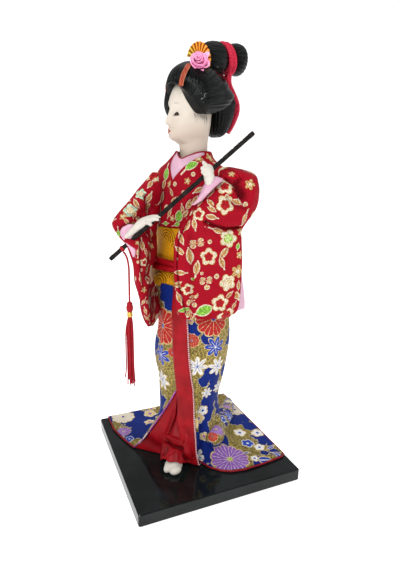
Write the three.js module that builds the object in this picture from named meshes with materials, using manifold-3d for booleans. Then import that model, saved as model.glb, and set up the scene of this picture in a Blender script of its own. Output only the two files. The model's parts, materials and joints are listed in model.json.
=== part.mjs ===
// Geisha doll holding a flute, standing on a square lacquered plinth.
// Millimetres, +Z up, origin at the middle of the plinth's underside.
// The plinth's edges run along X and Y. The doll stands on its diagonal and looks over its near corner,
// so the figure is modelled facing -Y, with its left hand side towards +X, in a group turned 45 degrees.

import * as THREE from "three";
import { mergeVertices } from "three/addons/utils/BufferGeometryUtils.js";
import Module from "manifold-3d";

const wasm = await Module();
wasm.setup();

// Driving dimensions
const GAP = 0.3; // clearance between pieces that touch
const SKIN_GAP = 1.4 * GAP; // the same, measured along the corners of a facetted skin
const PLINTH_SIDE = 120;
const PLINTH_THICKNESS = 9;
const PLINTH_CORNER = 1.5;
const PLINTH_EDGE = 0.6;
const FLOOR = PLINTH_THICKNESS + GAP; // where the foot and the hems rest
const SKIRT_TOP = 136;
const HEM_THICKNESS = 2.2;
const OBI_TOP = 177;
const OBI_BOTTOM = SKIRT_TOP + GAP;
const FLUTE_DIAMETER = 3;
const OBI_CORD_STRAND = 4.2;
const OBI_CORD_HEIGHT = 156;
const HAIR_CORD_DIAMETER = 3.2;
const TASSEL_CORD_DIAMETER = 1.3;

// Turns about the vertical, positive towards the doll's left
const DIAGONAL = THREE.MathUtils.degToRad(-45); // the figure on its plinth
const ARMS_TURN = THREE.MathUtils.degToRad(22); // the plan on which the arms and the flute are laid out
const TORSO_TURN = THREE.MathUtils.degToRad(-20); // the chest turns to the doll's right
const HEAD_TURN = THREE.MathUtils.degToRad(-41); // and the head turns further

// Colours
const LACQUER = { color: 0x16181a, roughness: 0.12, metalness: 0 };
const GOFUN = { color: 0xe9e2d6, roughness: 0.55, metalness: 0 };
const RED_BROCADE = { color: 0xb3141f, roughness: 0.7, metalness: 0 };
const BLUE_BROCADE = { color: 0x1c3c9c, roughness: 0.6, metalness: 0 };
const RED_SATIN = { color: 0xc0121c, roughness: 0.45, metalness: 0 };
const PINK_SATIN = { color: 0xf0a8cf, roughness: 0.45, metalness: 0 };
const GOLD_BROCADE = { color: 0xb8860b, roughness: 0.5, metalness: 0 };
const HAIR_BLACK = { color: 0x0c0c0d, roughness: 0.3, metalness: 0 };
const RED_CORD = { color: 0xc8102e, roughness: 0.7, metalness: 0 };
const FLUTE_BLACK = { color: 0x141212, roughness: 0.35, metalness: 0 };
const GILT = { color: 0xd4a017, roughness: 0.3, metalness: 1 };
const FAN_GOLD = { color: 0xd88a1c, roughness: 0.5, metalness: 0 };
const RIBBON_RED = { color: 0xd6482a, roughness: 0.5, metalness: 0 };

// Frames of the figure

function turned(x, y, z, turn, cx = 0, cy = 0) {
  const c = Math.cos(turn);
  const s = Math.sin(turn);
  return new THREE.Vector3(cx + x * c - y * s, cy + x * s + y * c, z);
}

// side runs to the doll's left and out runs forwards, on the plan of the arms
const arms = (side, out, z) => turned(side, -out, z, ARMS_TURN);
const torso = (x, y, z) => turned(x, y, z, TORSO_TURN, -2, 0);
const head = (x, y, z) => turned(x, y, z, HEAD_TURN, -2.5, 1);
const skirtAxis = (x, y, z) => new THREE.Vector3(x, y, z);

// Numbers that change along a key, such as a height, through a smooth curve
function track(rows) {
  const last = rows.length - 1;
  const slope = (n, j) => {
    const a = rows[Math.max(n - 1, 0)];
    const b = rows[Math.min(n + 1, last)];
    return (b[j] - a[j]) / (b[0] - a[0]);
  };
  return key => {
    const k = Math.min(Math.max(key, rows[0][0]), rows[last][0]);
    let i = 0;
    while (i < last - 1 && k > rows[i + 1][0]) i += 1;
    const step = rows[i + 1][0] - rows[i][0];
    const t = (k - rows[i][0]) / step;
    const t2 = t * t;
    const t3 = t2 * t;
    return rows[0].slice(1).map((_, n) => {
      const j = n + 1;
      return (2 * t3 - 3 * t2 + 1) * rows[i][j] + (t3 - 2 * t2 + t) * step * slope(i, j)
        + (3 * t2 - 2 * t3) * rows[i + 1][j] + (t3 - t2) * step * slope(i + 1, j);
    });
  };
}

const TURN = 2 * Math.PI;

const steps = (from, to, count) =>
  Array.from({ length: count + 1 }, (_, i) => from + (to - from) * i / count);

// The angles of a closed ring of this many corners
const around = count => steps(0, TURN, count).slice(0, count);

const power = (value, exponent) => Math.sign(value) * Math.abs(value) ** exponent;
const bump = (x, centre, width) => Math.exp(-(((x - centre) / width) ** 2));

// Closed solids

function geometryOf(points, faces) {
  const geometry = new THREE.BufferGeometry();
  const numbers = points.flatMap(p => [p.x, p.y, p.z]);
  geometry.setAttribute("position", new THREE.Float32BufferAttribute(numbers, 3));
  geometry.setIndex(faces);
  return geometry;
}

// Rings of equal length, each counterclockwise as seen from the last one
function loft(rings) {
  const count = rings[0].length;
  const points = rings.flat();
  const faces = [];
  for (let i = 0; i + 1 < rings.length; i += 1) {
    for (let j = 0; j < count; j += 1) {
      const a = i * count + j;
      const b = i * count + (j + 1) % count;
      faces.push(a, b, b + count, a, b + count, a + count);
    }
  }
  const middle = ring => ring.reduce((sum, p) => sum.add(p), new THREE.Vector3()).divideScalar(count);
  const first = points.push(middle(rings[0])) - 1;
  const end = points.push(middle(rings.at(-1))) - 1;
  const top = (rings.length - 1) * count;
  for (let j = 0; j < count; j += 1) {
    const k = (j + 1) % count;
    faces.push(first, k, j, end, top + j, top + k);
  }
  return geometryOf(points, faces);
}

// A level ring: half width a, half depth towards the front and the back, in a frame of the figure
function oval(frame, z, a, front, back, cx = 0, cy = 0, count = 24, exponent = 1) {
  return around(count).map(angle => {
    const x = a * power(Math.cos(angle), exponent);
    const y = power(Math.sin(angle), exponent);
    return frame(cx + x, cy + y * (y < 0 ? front : back), z);
  });
}

// Both ends of a limb are blunt tips: how far they reach and how wide they end, in radii
const TIP_REACH = 0.6;
const TIP_WIDTH = 0.55;

// A round limb, finger or roll through points [x, y, z, radius] of a frame
function limb(frame, stations, sides = 8, spans = 3) {
  const centres = stations.map(([x, y, z]) => frame(x, y, z));
  const curve = new THREE.CatmullRomCurve3(centres, false, "centripetal");
  const radius = track(stations.map((s, i) => [i, s[3]]));
  const count = (stations.length - 1) * spans;
  const frames = curve.computeFrenetFrames(count, false);
  const ring = (i, ahead = 0, narrow = 1) => {
    const r = radius(i / spans)[0];
    const centre = curve.getPoint(i / count).addScaledVector(frames.tangents[i], ahead * r);
    return around(sides).map(angle => centre.clone()
      .addScaledVector(frames.normals[i], Math.cos(angle) * r * narrow)
      .addScaledVector(frames.binormals[i], Math.sin(angle) * r * narrow));
  };
  const rings = steps(0, count, count).map(i => ring(i));
  return loft([ring(0, -TIP_REACH, TIP_WIDTH), ...rings, ring(count, TIP_REACH, TIP_WIDTH)]);
}

function ball(centre, rx, ry, rz, turn = 0, across = 12, up = 8) {
  const geometry = new THREE.SphereGeometry(1, across, up);
  geometry.rotateX(Math.PI / 2);
  geometry.scale(rx, ry, rz);
  geometry.rotateZ(turn);
  geometry.translate(centre.x, centre.y, centre.z);
  return geometry;
}

function box(x0, x1, y0, y1, z0, z1) {
  const geometry = new THREE.BoxGeometry(x1 - x0, y1 - y0, z1 - z0);
  geometry.translate((x0 + x1) / 2, (y0 + y1) / 2, (z0 + z1) / 2);
  return geometry;
}

// An upright outline [x, z] carried from y0 to y1 of a frame, to cut or trim a front with
function prism(frame, outline, y0, y1) {
  const shape = new THREE.Shape(outline.map(([x, z]) => new THREE.Vector2(x, z)));
  const geometry = new THREE.ExtrudeGeometry(shape, { depth: y1 - y0, bevelEnabled: false });
  const p = geometry.attributes.position;
  for (let i = 0; i < p.count; i += 1) {
    const at = frame(p.getX(i), y1 - p.getZ(i), p.getY(i));
    p.setXYZ(i, at.x, at.y, at.z);
  }
  return geometry;
}

function tube(curve, diameter, sides, spans) {
  const section = new THREE.Shape(around(sides).map(angle =>
    new THREE.Vector2(Math.cos(angle), Math.sin(angle)).multiplyScalar(diameter / 2)));
  return new THREE.ExtrudeGeometry(section, { steps: spans, extrudePath: curve, bevelEnabled: false });
}

// Cuts and joins

function merged(geometry) {
  const bare = geometry.clone();
  bare.deleteAttribute("normal");
  bare.deleteAttribute("uv");
  return mergeVertices(bare, 1e-4);
}

function solid(geometry) {
  const bare = merged(geometry);
  return new wasm.Manifold(new wasm.Mesh({
    numProp: 3,
    vertProperties: new Float32Array(bare.attributes.position.array),
    triVerts: new Uint32Array(bare.index.array),
  }));
}

function surface(body) {
  const mesh = body.getMesh();
  const geometry = new THREE.BufferGeometry();
  const numbers = new Float32Array(mesh.vertProperties);
  geometry.setAttribute("position", new THREE.BufferAttribute(numbers, 3));
  geometry.setIndex(new THREE.BufferAttribute(new Uint32Array(mesh.triVerts), 1));
  return geometry;
}

// Only the biggest body of a cut is kept, so no crumbs are left
function largest(geometry) {
  const index = geometry.index.array;
  const p = geometry.attributes.position;
  const root = Array.from({ length: p.count }, (_, i) => i);
  const find = i => {
    let at = i;
    while (root[at] !== at) at = root[at] = root[root[at]];
    return at;
  };
  for (let i = 0; i < index.length; i += 3) {
    root[find(index[i])] = find(index[i + 1]);
    root[find(index[i + 1])] = find(index[i + 2]);
  }
  const bodies = new Map();
  const corner = i => new THREE.Vector3().fromBufferAttribute(p, index[i]);
  for (let i = 0; i < index.length; i += 3) {
    const key = find(index[i]);
    const body = bodies.get(key) ?? { volume: 0, faces: [] };
    body.volume += corner(i).dot(corner(i + 1).cross(corner(i + 2))) / 6;
    body.faces.push(index[i], index[i + 1], index[i + 2]);
    bodies.set(key, body);
  }
  const best = [...bodies.values()].reduce((a, b) => (b.volume > a.volume ? b : a));
  geometry.setIndex(best.faces);
  return geometry;
}

// The same skin moved outwards by a gap, to cut a neighbour with
function inflate(geometry, gap) {
  const grown = merged(geometry);
  grown.computeVertexNormals();
  const p = grown.attributes.position;
  const n = grown.attributes.normal;
  for (let i = 0; i < p.count; i += 1) {
    const normal = new THREE.Vector3().fromBufferAttribute(n, i);
    const at = new THREE.Vector3().fromBufferAttribute(p, i).addScaledVector(normal, gap);
    p.setXYZ(i, at.x, at.y, at.z);
  }
  grown.deleteAttribute("normal");
  return grown;
}

const join = (...parts) => largest(surface(parts.map(solid).reduce((a, b) => a.add(b))));
const overlap = (a, b) => largest(surface(solid(a).intersect(solid(b))));
const cut = (part, ...cutters) =>
  largest(surface(cutters.map(solid).reduce((a, b) => a.subtract(b), solid(part))));
const fit = (part, ...neighbours) => cut(part, ...neighbours.map(n => inflate(n, SKIN_GAP)));

const figure = new THREE.Group();
figure.rotation.z = DIAGONAL;

function add(name, geometry, finish, group = figure) {
  const mesh = new THREE.Mesh(geometry, new THREE.MeshStandardMaterial(finish));
  mesh.name = name;
  group.add(mesh);
  return geometry;
}

// Plinth

function plinth() {
  const half = PLINTH_SIDE / 2;
  const shape = new THREE.Shape();
  const inset = half - PLINTH_CORNER;
  [[1, 1], [-1, 1], [-1, -1], [1, -1]].forEach(([x, y], n) => {
    shape.absarc(x * inset, y * inset, PLINTH_CORNER, n * TURN / 4, (n + 1) * TURN / 4, false);
  });
  const geometry = new THREE.ExtrudeGeometry(shape, {
    depth: PLINTH_THICKNESS - 2 * PLINTH_EDGE,
    bevelSize: PLINTH_EDGE,
    bevelThickness: PLINTH_EDGE,
    bevelOffset: -PLINTH_EDGE,
    bevelSegments: 1,
    curveSegments: 2,
  });
  geometry.translate(0, 0, PLINTH_EDGE);
  return geometry;
}

// Skirt: a column round the legs, which flares into a train that covers the back half of the plinth

const HEM = [ // corners of the hem on the plinth, round from the front
  [-12, -27.5], [4, -26], [14, -20.5], [24, -24.5], [34.5, -25.6],
  [70, 11.3], [-1.4, 82], [-78.5, 3.5], [-39.6, -24.3],
];
const SKIRT_CENTRE = [-1, -1];
const COLUMN = track([ // height, centre x, half width, half depth
  [9, -2, 23, 21], [40, -2.6, 22.6, 20.8], [54, -2.6, 22.8, 20.6], [68, -1.4, 24.4, 21.6],
  [82, -1.6, 26.8, 22.8], [94, -0.8, 27.4, 23.2], [106, 0.6, 26.4, 22.8], [120, 0, 25.8, 22.6],
  [136, -1.5, 26.5, 22.6],
]);
const OPENING_EDGE = track([ // height, x of the right front edge where it swings out
  [9, -38], [13, -34], [20, -28], [29, -22.3], [40, -15.6], [52, -9], [64, -2.9],
]);
const FRONT_PLANE = 25.3; // the turned out front stands this far before the axis at the hem
const FRONT_PLANE_TOP = 21; // and this far where it closes
const OPENING_TOP = 64;
const OPENING_TURN = 2.2; // the front is shaped up to here, either way round from the middle
const LEFT_TURN = -0.62; // the plane front ends here on the doll's left

function hemReach(angle) {
  const dx = Math.sin(angle);
  const dy = -Math.cos(angle);
  let reach = Infinity;
  HEM.forEach(([x0, y0], i) => {
    const [x1, y1] = HEM[(i + 1) % HEM.length];
    const ax = x0 - SKIRT_CENTRE[0];
    const ay = y0 - SKIRT_CENTRE[1];
    const ex = x1 - x0;
    const ey = y1 - y0;
    const across = dx * ey - dy * ex;
    if (Math.abs(across) < 1e-9) return;
    const along = (ax * ey - ay * ex) / across;
    const on = (ax * dy - ay * dx) / across;
    if (along > 0 && on > -1e-6 && on < 1 + 1e-6) reach = Math.min(reach, along);
  });
  return reach;
}

// Angles from the front, round to the doll's left, with one at each corner of the hem
function hemAngles(spacing) {
  const corners = HEM.map(([x, y]) => {
    const angle = Math.atan2(x - SKIRT_CENTRE[0], -(y - SKIRT_CENTRE[1]));
    return angle < 0 ? angle + TURN : angle;
  }).sort((a, b) => a - b);
  return corners.flatMap((from, i) => {
    const to = i + 1 < corners.length ? corners[i + 1] : corners[0] + TURN;
    const count = Math.max(1, Math.round((to - from) / spacing));
    return steps(from, to, count).slice(0, count);
  });
}

function columnReach(angle, z) {
  const [cx, a, b] = COLUMN(z);
  const dx = Math.sin(angle);
  const dy = -Math.cos(angle);
  const ox = SKIRT_CENTRE[0] - cx;
  const qa = (dx / a) ** 2 + (dy / b) ** 2;
  const qb = 2 * ox * dx / a ** 2;
  const qc = (ox / a) ** 2 - 1;
  return (-qb + Math.sqrt(qb * qb - 4 * qa * qc)) / (2 * qa);
}

// How far the skirt stands out at a height. spread goes from 0 at the column to 1 at the hem
function skirtReach(angle, z, spread) {
  const column = columnReach(angle, z);
  const flare = column + (hemReach(angle) - column) * spread;
  const turn = angle > TURN / 2 ? TURN - angle : -angle; // positive towards the doll's right
  let front = 0;
  if (z < OPENING_TOP && Math.abs(turn) < OPENING_TURN) {
    const edge = OPENING_EDGE(z)[0] - SKIRT_CENTRE[0];
    const rise = THREE.MathUtils.smoothstep(z, 25, OPENING_TOP);
    const depth = THREE.MathUtils.lerp(FRONT_PLANE, FRONT_PLANE_TOP, rise) + SKIRT_CENTRE[1];
    const edgeTurn = Math.atan2(-edge, depth);
    if (turn > edgeTurn) {
      const fin = Math.hypot(edge, depth) - column;
      front = column + Math.max(fin, 0) * bump(turn, edgeTurn, 0.3);
    } else if (turn > LEFT_TURN) {
      front = depth / Math.cos(turn);
    }
  }
  return Math.max(flare, front);
}

const FLARE = [ // height, and how much of the way to the hem the skirt has spread
  [50, 0], [38, 0.018], [29, 0.046], [22, 0.1], [17, 0.19], [14, 0.34], [12.4, 0.58], [11.6, 0.84],
];

function skirtForm() {
  const angles = hemAngles(0.27);
  const ring = (z, spread) => angles.map(angle => {
    const reach = skirtReach(angle, z, spread);
    const [x, y] = SKIRT_CENTRE;
    return skirtAxis(x + Math.sin(angle) * reach, y - Math.cos(angle) * reach, z);
  });
  const rings = [ring(FLOOR, 1), ring(FLOOR + HEM_THICKNESS, 1)];
  for (const [z, spread] of [...FLARE].reverse()) rings.push(ring(z, spread));
  for (const z of [62, 76, 92, 112, SKIRT_TOP]) rings.push(ring(z, 0));
  return loft(rings);
}

// A long gather of the train that runs forwards on the doll's left and ends beside the column
const GATHER = [
  [9, 66, 11.5, 2.5], [13, 50, 13.5, 5.2], [16, 30, 15, 6.2], [19, 10, 16.5, 6.6], [22.5, -8, 19, 6.2],
];

const V_EDGE = [[-34, 13], [-28, 20], [-22.3, 29], [-15.6, 40], [-9, 52], [-2.9, 64]];
const FACING = track([ // height, x of the band's two edges
  [11.5, 14.4, 15.9], [16.5, 10.2, 14.2], [22, 6, 13.8], [30.4, 1.3, 13.2], [42, -1.5, 11.2],
  [57, -2.5, 9.4], [74, -3.7, 7.6], [89, -4.7, 6.4], [110, -6, 5.2], [124, -6.3, 4], [135.5, -5.2, 2.6],
]);
const FACING_THICKNESS = 0.8;
const FACING_LIFT = 0.7; // clears the flats between the corners of the skirt
const OPENING_DEPTH = -8; // the front is open back to here, and the underskirt fills it

const LINING_THICKNESS = 1.6;
const LINING_EDGE = [
  [-37, 0], [-37, 9.8], [-33.4, 12.5], [-27.5, 19.4], [-21.8, 28.4], [-15.1, 39.4], [-8.6, 51.4],
];
const LINING_FOLD = [[-3.4, 61], [-3.9, 42.8], [-9, 24], [-14.3, 0]];

// The turned out front is lined: a band just under the skin of the form, or with some room round it
function liningBand(form, room = 0) {
  const outline = [
    ...LINING_EDGE.map(([x, z]) => [x - room, z]),
    ...LINING_FOLD.map(([x, z]) => [x + room, z]),
  ];
  const skin = cut(room ? inflate(form, room) : form, inflate(form, -LINING_THICKNESS - room));
  return overlap(skin, prism(skirtAxis, outline, -60, OPENING_DEPTH - GAP + room));
}

function skirtPieces() {
  const form = cut(join(skirtForm(), limb(skirtAxis, GATHER, 7, 1)), box(-90, 90, -90, 90, -5, FLOOR));
  const open = prism(skirtAxis, [
    [-41, 0], [-41, 9.2], [-37.5, 10], ...V_EDGE,
    [-1.5, 41], [1.3, 30.4], [6, 21.5], [12.6, 13], [16, 9.4], [17, 0],
  ], -60, OPENING_DEPTH);
  return { skirt: cut(form, open), lining: liningBand(form), liningRoom: liningBand(form, 2 * GAP) };
}

// The front of the skirt at an x and a height, found along the line of sight from the axis
function skirtFront(x, z, lift) {
  let angle = Math.atan2(x - SKIRT_CENTRE[0], 24);
  let reach = 0;
  for (let i = 0; i < 12; i += 1) {
    reach = skirtReach((angle + TURN) % TURN, z, 0) + lift;
    angle = Math.asin(THREE.MathUtils.clamp((x - SKIRT_CENTRE[0]) / reach, -1, 1));
  }
  return skirtAxis(x, SKIRT_CENTRE[1] - Math.cos(angle) * reach, z);
}

function facingForm() {
  const heights = [11.5, 15, 19, 25, 32, 42, 56, 70, 84, 98, 116, 135.5];
  return loft(heights.map(z => {
    const [x0, x1] = FACING(z);
    const across = steps(x0, x1, 2);
    return [
      ...across.map(x => skirtFront(x, z, FACING_LIFT + FACING_THICKNESS)),
      ...across.reverse().map(x => skirtFront(x, z, FACING_LIFT)),
    ];
  }));
}

// The underskirt fills the opening, with a tent fold over the foot and a deep fold beside it
function underskirtFront(x, z) {
  const low = THREE.MathUtils.smoothstep(64 - z, 0, 52);
  const tent = 12 * bump(x, 0.8 - 0.16 * z, 5 + 3 * low) * low ** 3;
  const pleat = 1.2 * Math.sin((x + 0.2 * z) * 0.62) * low * bump(x, 0, 14);
  return -(19.5 + 3.6 * low + tent + pleat);
}

function underskirtForm() {
  const columns = steps(-40, 18, 16);
  const rows = [FLOOR, 14, 20, 28, 40, 62];
  const ring = z => [
    ...columns.map(x => skirtAxis(x, underskirtFront(x, z), z)),
    ...columns.slice().reverse().map(x => skirtAxis(x, OPENING_DEPTH - GAP, z)),
  ];
  return loft(rows.map(ring));
}

function foot() {
  const lobes = [
    ball(new THREE.Vector3(0.8, -29, 11.6), 5.2, 11, 5.2, 0, 8, 5),
    ball(new THREE.Vector3(-2.6, -37, 10.8), 2.6, 6, 3.4, 0, 8, 5),
    ball(new THREE.Vector3(2.2, -36.4, 10.8), 3.9, 6.2, 3.4, 0, 8, 5),
  ];
  return cut(join(...lobes), box(-20, 30, -60, 0, -5, FLOOR));
}

const skirtSet = skirtPieces();
const footForm = foot();
const facing = facingForm();

add("skirt", skirtSet.skirt, BLUE_BROCADE);
add("front_facing", facing, RED_SATIN);
add("skirt_lining", skirtSet.lining, RED_SATIN);
add("left_foot", footForm, GOFUN);
const opening = prism(skirtAxis, [
  [-36.5, 0], [-36.5, 9], [-33, 12.2], [-27.2, 19], [-21.6, 28], [-14.8, 39.2], [-8.2, 51.2], [-3.2, 60.5],
  [-1.9, 41], [0.9, 30.2], [5.6, 21.2], [12.2, 12.6], [15, 9.2], [15.6, 0],
], -60, OPENING_DEPTH - GAP);
const underskirt = cut(overlap(underskirtForm(), opening), skirtSet.liningRoom);
add("underskirt", fit(underskirt, facing, footForm), RED_SATIN);

// Chest and sash

const CHEST_TOP = 229;
const CHEST = track([ // height, half width, reach to the front, reach to the back
  [OBI_TOP, 28, 21.8, 21.8], [190, 29, 22.4, 21], [200, 30, 22, 19.6], [208, 30.4, 21.2, 18],
  [214, 30, 20.4, 16], [219, 26.4, 19.4, 14], [223, 19.4, 18, 12.6], [226.6, 14.6, 16, 12],
  [CHEST_TOP, 12.6, 13.6, 12.6],
]);

function chestForm() {
  return loft([OBI_TOP + GAP, 193, 206, 214, 219, 223, 226.6, CHEST_TOP].map(z => {
    const [a, front, back] = CHEST(z);
    return oval(torso, z, a, front, back, -0.8, 1, 20);
  }));
}

const OBI = track([ // height, half width, half depth, centre x
  [SKIRT_TOP, 35, 23.6, -6.4], [141, 33.6, 23.2, -5], [147, 30.4, 22.6, -2.2], [156, 28, 21.6, 0],
  [OBI_TOP, 28.4, 21.8, 0],
]);

function obiForm() {
  return loft([OBI_BOTTOM, 141, 148, 156, OBI_TOP].map(z => {
    const [a, b, cx] = OBI(z);
    return oval(torso, z, a, b, b, cx, 0, 20);
  }));
}

// The outline of two strands that lie side by side: [outwards, sideways] for a strand of radius r
function strandPair(r, perLobe = 5) {
  const lobe = (offset, from) => steps(from, from + 240, perLobe).map(degrees => {
    const angle = THREE.MathUtils.degToRad(degrees);
    return [r * Math.cos(angle), offset + r * Math.sin(angle)];
  });
  return [...lobe(0.5 * r * Math.sqrt(3), -30), ...lobe(-0.5 * r * Math.sqrt(3), 150)];
}

// A ring that closes on itself: sections of equal length, each in the plane across its path
function closedLoft(sections) {
  const sides = sections[0].length;
  const faces = [];
  for (let i = 0; i < sections.length; i += 1) {
    for (let j = 0; j < sides; j += 1) {
      const next = (i + 1) % sections.length * sides;
      const a = i * sides + j;
      const b = i * sides + (j + 1) % sides;
      faces.push(a, next + j, next + (j + 1) % sides, a, next + (j + 1) % sides, b);
    }
  }
  return geometryOf(sections.flat(), faces);
}

// Two strands lie one above the other round the sash, a little lower at the front
function obiCordForm() {
  return closedLoft(around(18).map(angle => {
    const height = OBI_CORD_HEIGHT + 1.5 * Math.sin(angle);
    return strandPair(OBI_CORD_STRAND / 2, 3).map(([out, up]) => {
      const [a, b, cx] = OBI(height + up);
      const reach = out + OBI_CORD_STRAND / 2 + 3 * GAP;
      return torso(cx + (a + reach) * Math.cos(angle), (b + reach) * Math.sin(angle), height + up);
    });
  }));
}

// What the arms and the knot lie against: the chest, the sash and its cord under one plain skin
function trunkForm() {
  const rows = [ // height, half width, half depth, centre x
    [132, 36.4, 25, -7], [141, 36.4, 25.4, -5.4], [149, 36.2, 28.2, -1.8], [163, 34.8, 28, -0.4],
    [170, 31, 24, 0], [205, 32, 23.4, -0.8], [214, 31.4, 22.6, -0.8], [220, 27, 20.6, -0.8],
    [232, 15, 15, -0.8],
  ];
  return loft(rows.map(([z, a, b, cx]) => oval(torso, z, a, b, b, cx, 0, 14)));
}

// The drum knot at the back of the sash
function obiKnotForm() {
  const rows = track([ // height, half width, reach to the front
    [138, 13, 4], [143, 16, 6.5], [152, 17, 8], [163, 17, 8.4], [172, 16.5, 7.4], [177, 14, 4.5],
  ]);
  return loft([138, 141, 152, 164, 173, 177].map(z => {
    const [a, b] = rows(z);
    return oval(torso, z, a, 6, b, 0, 24, 14, 0.7);
  }));
}

// Head and neck

const FACE = track([ // height, half width, reach to the front, reach to the back
  [221, 9.4, 9.4, 9.4], [229, 9.3, 9.3, 9.3], [233, 9.4, 10, 9.4], [234.6, 9.2, 12.6, 9.4],
  [236.4, 9.4, 16, 9.6], [238.4, 10.4, 17.6, 9.8], [241.7, 12, 17.8, 10], [244.6, 13, 17.3, 10.2],
  [247.4, 13.5, 17.4, 10.4], [251, 13.9, 16.9, 10.6], [255, 14, 16.8, 11], [260, 13.8, 17, 11.6],
  [265, 13, 15.4, 12], [270, 11.4, 12.6, 11.6], [275, 8, 9, 9],
]);

function headForm() {
  const heights = [221, 233, 235, 238, 242, 247, 252, 258, 265, 275];
  return loft(heights.map(z => {
    const [a, front, back] = FACE(z);
    return oval(head, z, a, front, back, 0, 0, 16, z > 236 ? 0.94 : 1);
  }));
}

function noseForm() {
  return limb(head, [[0, -15.6, 254, 1], [0, -16.6, 250.5, 1.3], [0, -17.8, 247.6, 1.8]], 6, 1);
}

// Hair

const CAP = track([ // height, half width, reach to the front, reach to the back
  [252, 18.6, 10, 22], [254.6, 21, 12, 25], [260, 21.8, 14.8, 25.8], [266, 21, 17.2, 25.4],
  [272, 19, 18, 23.4], [278, 15, 15.4, 20], [282, 10, 10.6, 17], [284.6, 5, 5, 13],
]);
const HAIRLINE = [
  [-16, 236], [-14.4, 253], [-12.4, 260], [-8.4, 265.6], [-3, 268.2],
  [3, 268.2], [8.4, 265.6], [12.4, 260], [14.4, 253], [16, 236],
];

// The cap, with the lock that swells before the far cheek
function capForm() {
  const dome = loft([252, 254.6, 260, 266, 272, 277.6, 282, 284.6].map(z => {
    const [a, front, back] = CAP(z);
    return oval(head, z, a, front, back, 0, 0, 20);
  }));
  const lock = [[-14.4, -11, 263, 3], [-16, -11.6, 258, 3.4], [-16.4, -10.4, 253, 2.6]];
  return join(dome, limb(head, lock, 6, 1));
}

// A plain skin just outside the head and neck, to hollow the hair with
function headRoom() {
  const rows = [ // height, half width, reach to the front, reach to the back
    [236, 11.6, 18, 11.2], [243, 14, 18.6, 11.4], [252, 15.2, 18.4, 12.2], [262, 14.8, 18.4, 13.2],
    [270, 12.6, 14.2, 12.8], [276.6, 9, 10, 10],
  ];
  return loft(rows.map(([z, a, front, back]) => oval(head, z, a, front, back, 0, 0, 12)));
}

function napeForm() {
  const rows = track([ // height, half width, front and back of the roll
    [239, 5, 15, 20], [240.4, 7.6, 13, 22.2], [244, 10, 12, 24.6], [251.4, 12, 11, 25],
  ]);
  return loft([239, 240.4, 244, 251.4].map(z => {
    const [a, front, back] = rows(z);
    const cy = (front + back) / 2;
    return oval(head, z, a, cy - front, back - cy, 0, cy, 14);
  }));
}

// The topknot runs backwards as two lobes, drawn in at the waist where the cord binds it
const WAIST = [19.2, 26.4]; // from and to, along the topknot
const WAIST_MIDDLE = (WAIST[0] + WAIST[1]) / 2;
const WAIST_LEAN = 0.3; // the cord leans forwards by this share of its height
const TOPKNOT_HEIGHT = 289;

function topknotForm() {
  const rings = [ // y, half width, half height
    [4, 5, 4], [6, 8.4, 6.6], [10, 10.8, 8.4], [15, 11.2, 8.9], [WAIST[0] - 0.4, 10, 8.2],
    [WAIST[0], 7, 6.2], [WAIST[1], 7, 6.2],
    [WAIST[1] + 0.4, 9.4, 8.4], [29.6, 11.2, 9.6], [33, 10.6, 9.2], [35.4, 7.6, 7], [36.2, 4, 4],
  ];
  return loft(rings.map(([y, a, b]) => around(12).map(angle => {
    const lean = WAIST_LEAN * bump(y, WAIST_MIDDLE, 9);
    const rise = -b * Math.sin(angle);
    return head(a * Math.cos(angle), y - lean * rise, TOPKNOT_HEIGHT + rise);
  })));
}

// The swept root of the topknot on the cap
function topknotRoot() {
  return loft([277, 287].map((z, i) => oval(head, z, 9.6 - i, 7 - i, 8.6 - i, 0, 13, 8)));
}

// Two strands of cord bind the topknot
function topknotCordForm() {
  const halfWidth = 8.95;
  const halfHeight = 8.15;
  return closedLoft(around(16).map(angle =>
    strandPair(HAIR_CORD_DIAMETER / 2, 3).map(([out, along]) => {
      const rise = (halfHeight + out) * Math.cos(angle);
      const back = WAIST_MIDDLE + along - WAIST_LEAN * rise;
      return head((halfWidth + out) * Math.sin(angle), back, TOPKNOT_HEIGHT + rise);
    })));
}

const TAIL_NEAR = [ // head frame
  [3.4, 24, 276.6], [3.6, 25.6, 272.8], [4, 27, 268.6], [4.2, 28.1, 264.4], [4.3, 28.8, 260],
  [4.3, 29, 256], [4, 28.7, 251.8], [3.6, 28, 248], [3, 26.9, 244.8], [2.4, 25.6, 242],
];
const TAIL_FAR = TAIL_NEAR.map(([x, y, z]) => [x - 6.6, y + 0.1, z - 1.2]);

const tailForm = points => tube(
  new THREE.CatmullRomCurve3(points.map(([x, y, z]) => head(x, y, z))), HAIR_CORD_DIAMETER, 8, 9);

// A strip of stiff ribbon that lies on the cap, from under the rose down to the brow
function ribbonForm(side) {
  const width = 3;
  const thickness = 0.6;
  const under = GAP + 0.05;
  const ring = t => {
    const z = THREE.MathUtils.lerp(280.6, 267, t);
    const place = (turn, lift) => {
      const [a, front] = CAP(z);
      return head(side * (a + lift) * Math.sin(turn), -(front + lift) * Math.cos(turn), z);
    };
    const middle = THREE.MathUtils.lerp(0.89, 0.57, t);
    const [a] = CAP(z);
    const half = width / 2 / a;
    const corners = [
      place(middle - half, under),
      place(middle + half, under),
      place(middle + half, under + thickness),
      place(middle - half, under + thickness),
    ];
    return side > 0 ? corners.reverse() : corners;
  };
  return loft(steps(1, 0, 5).map(ring));
}

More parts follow.
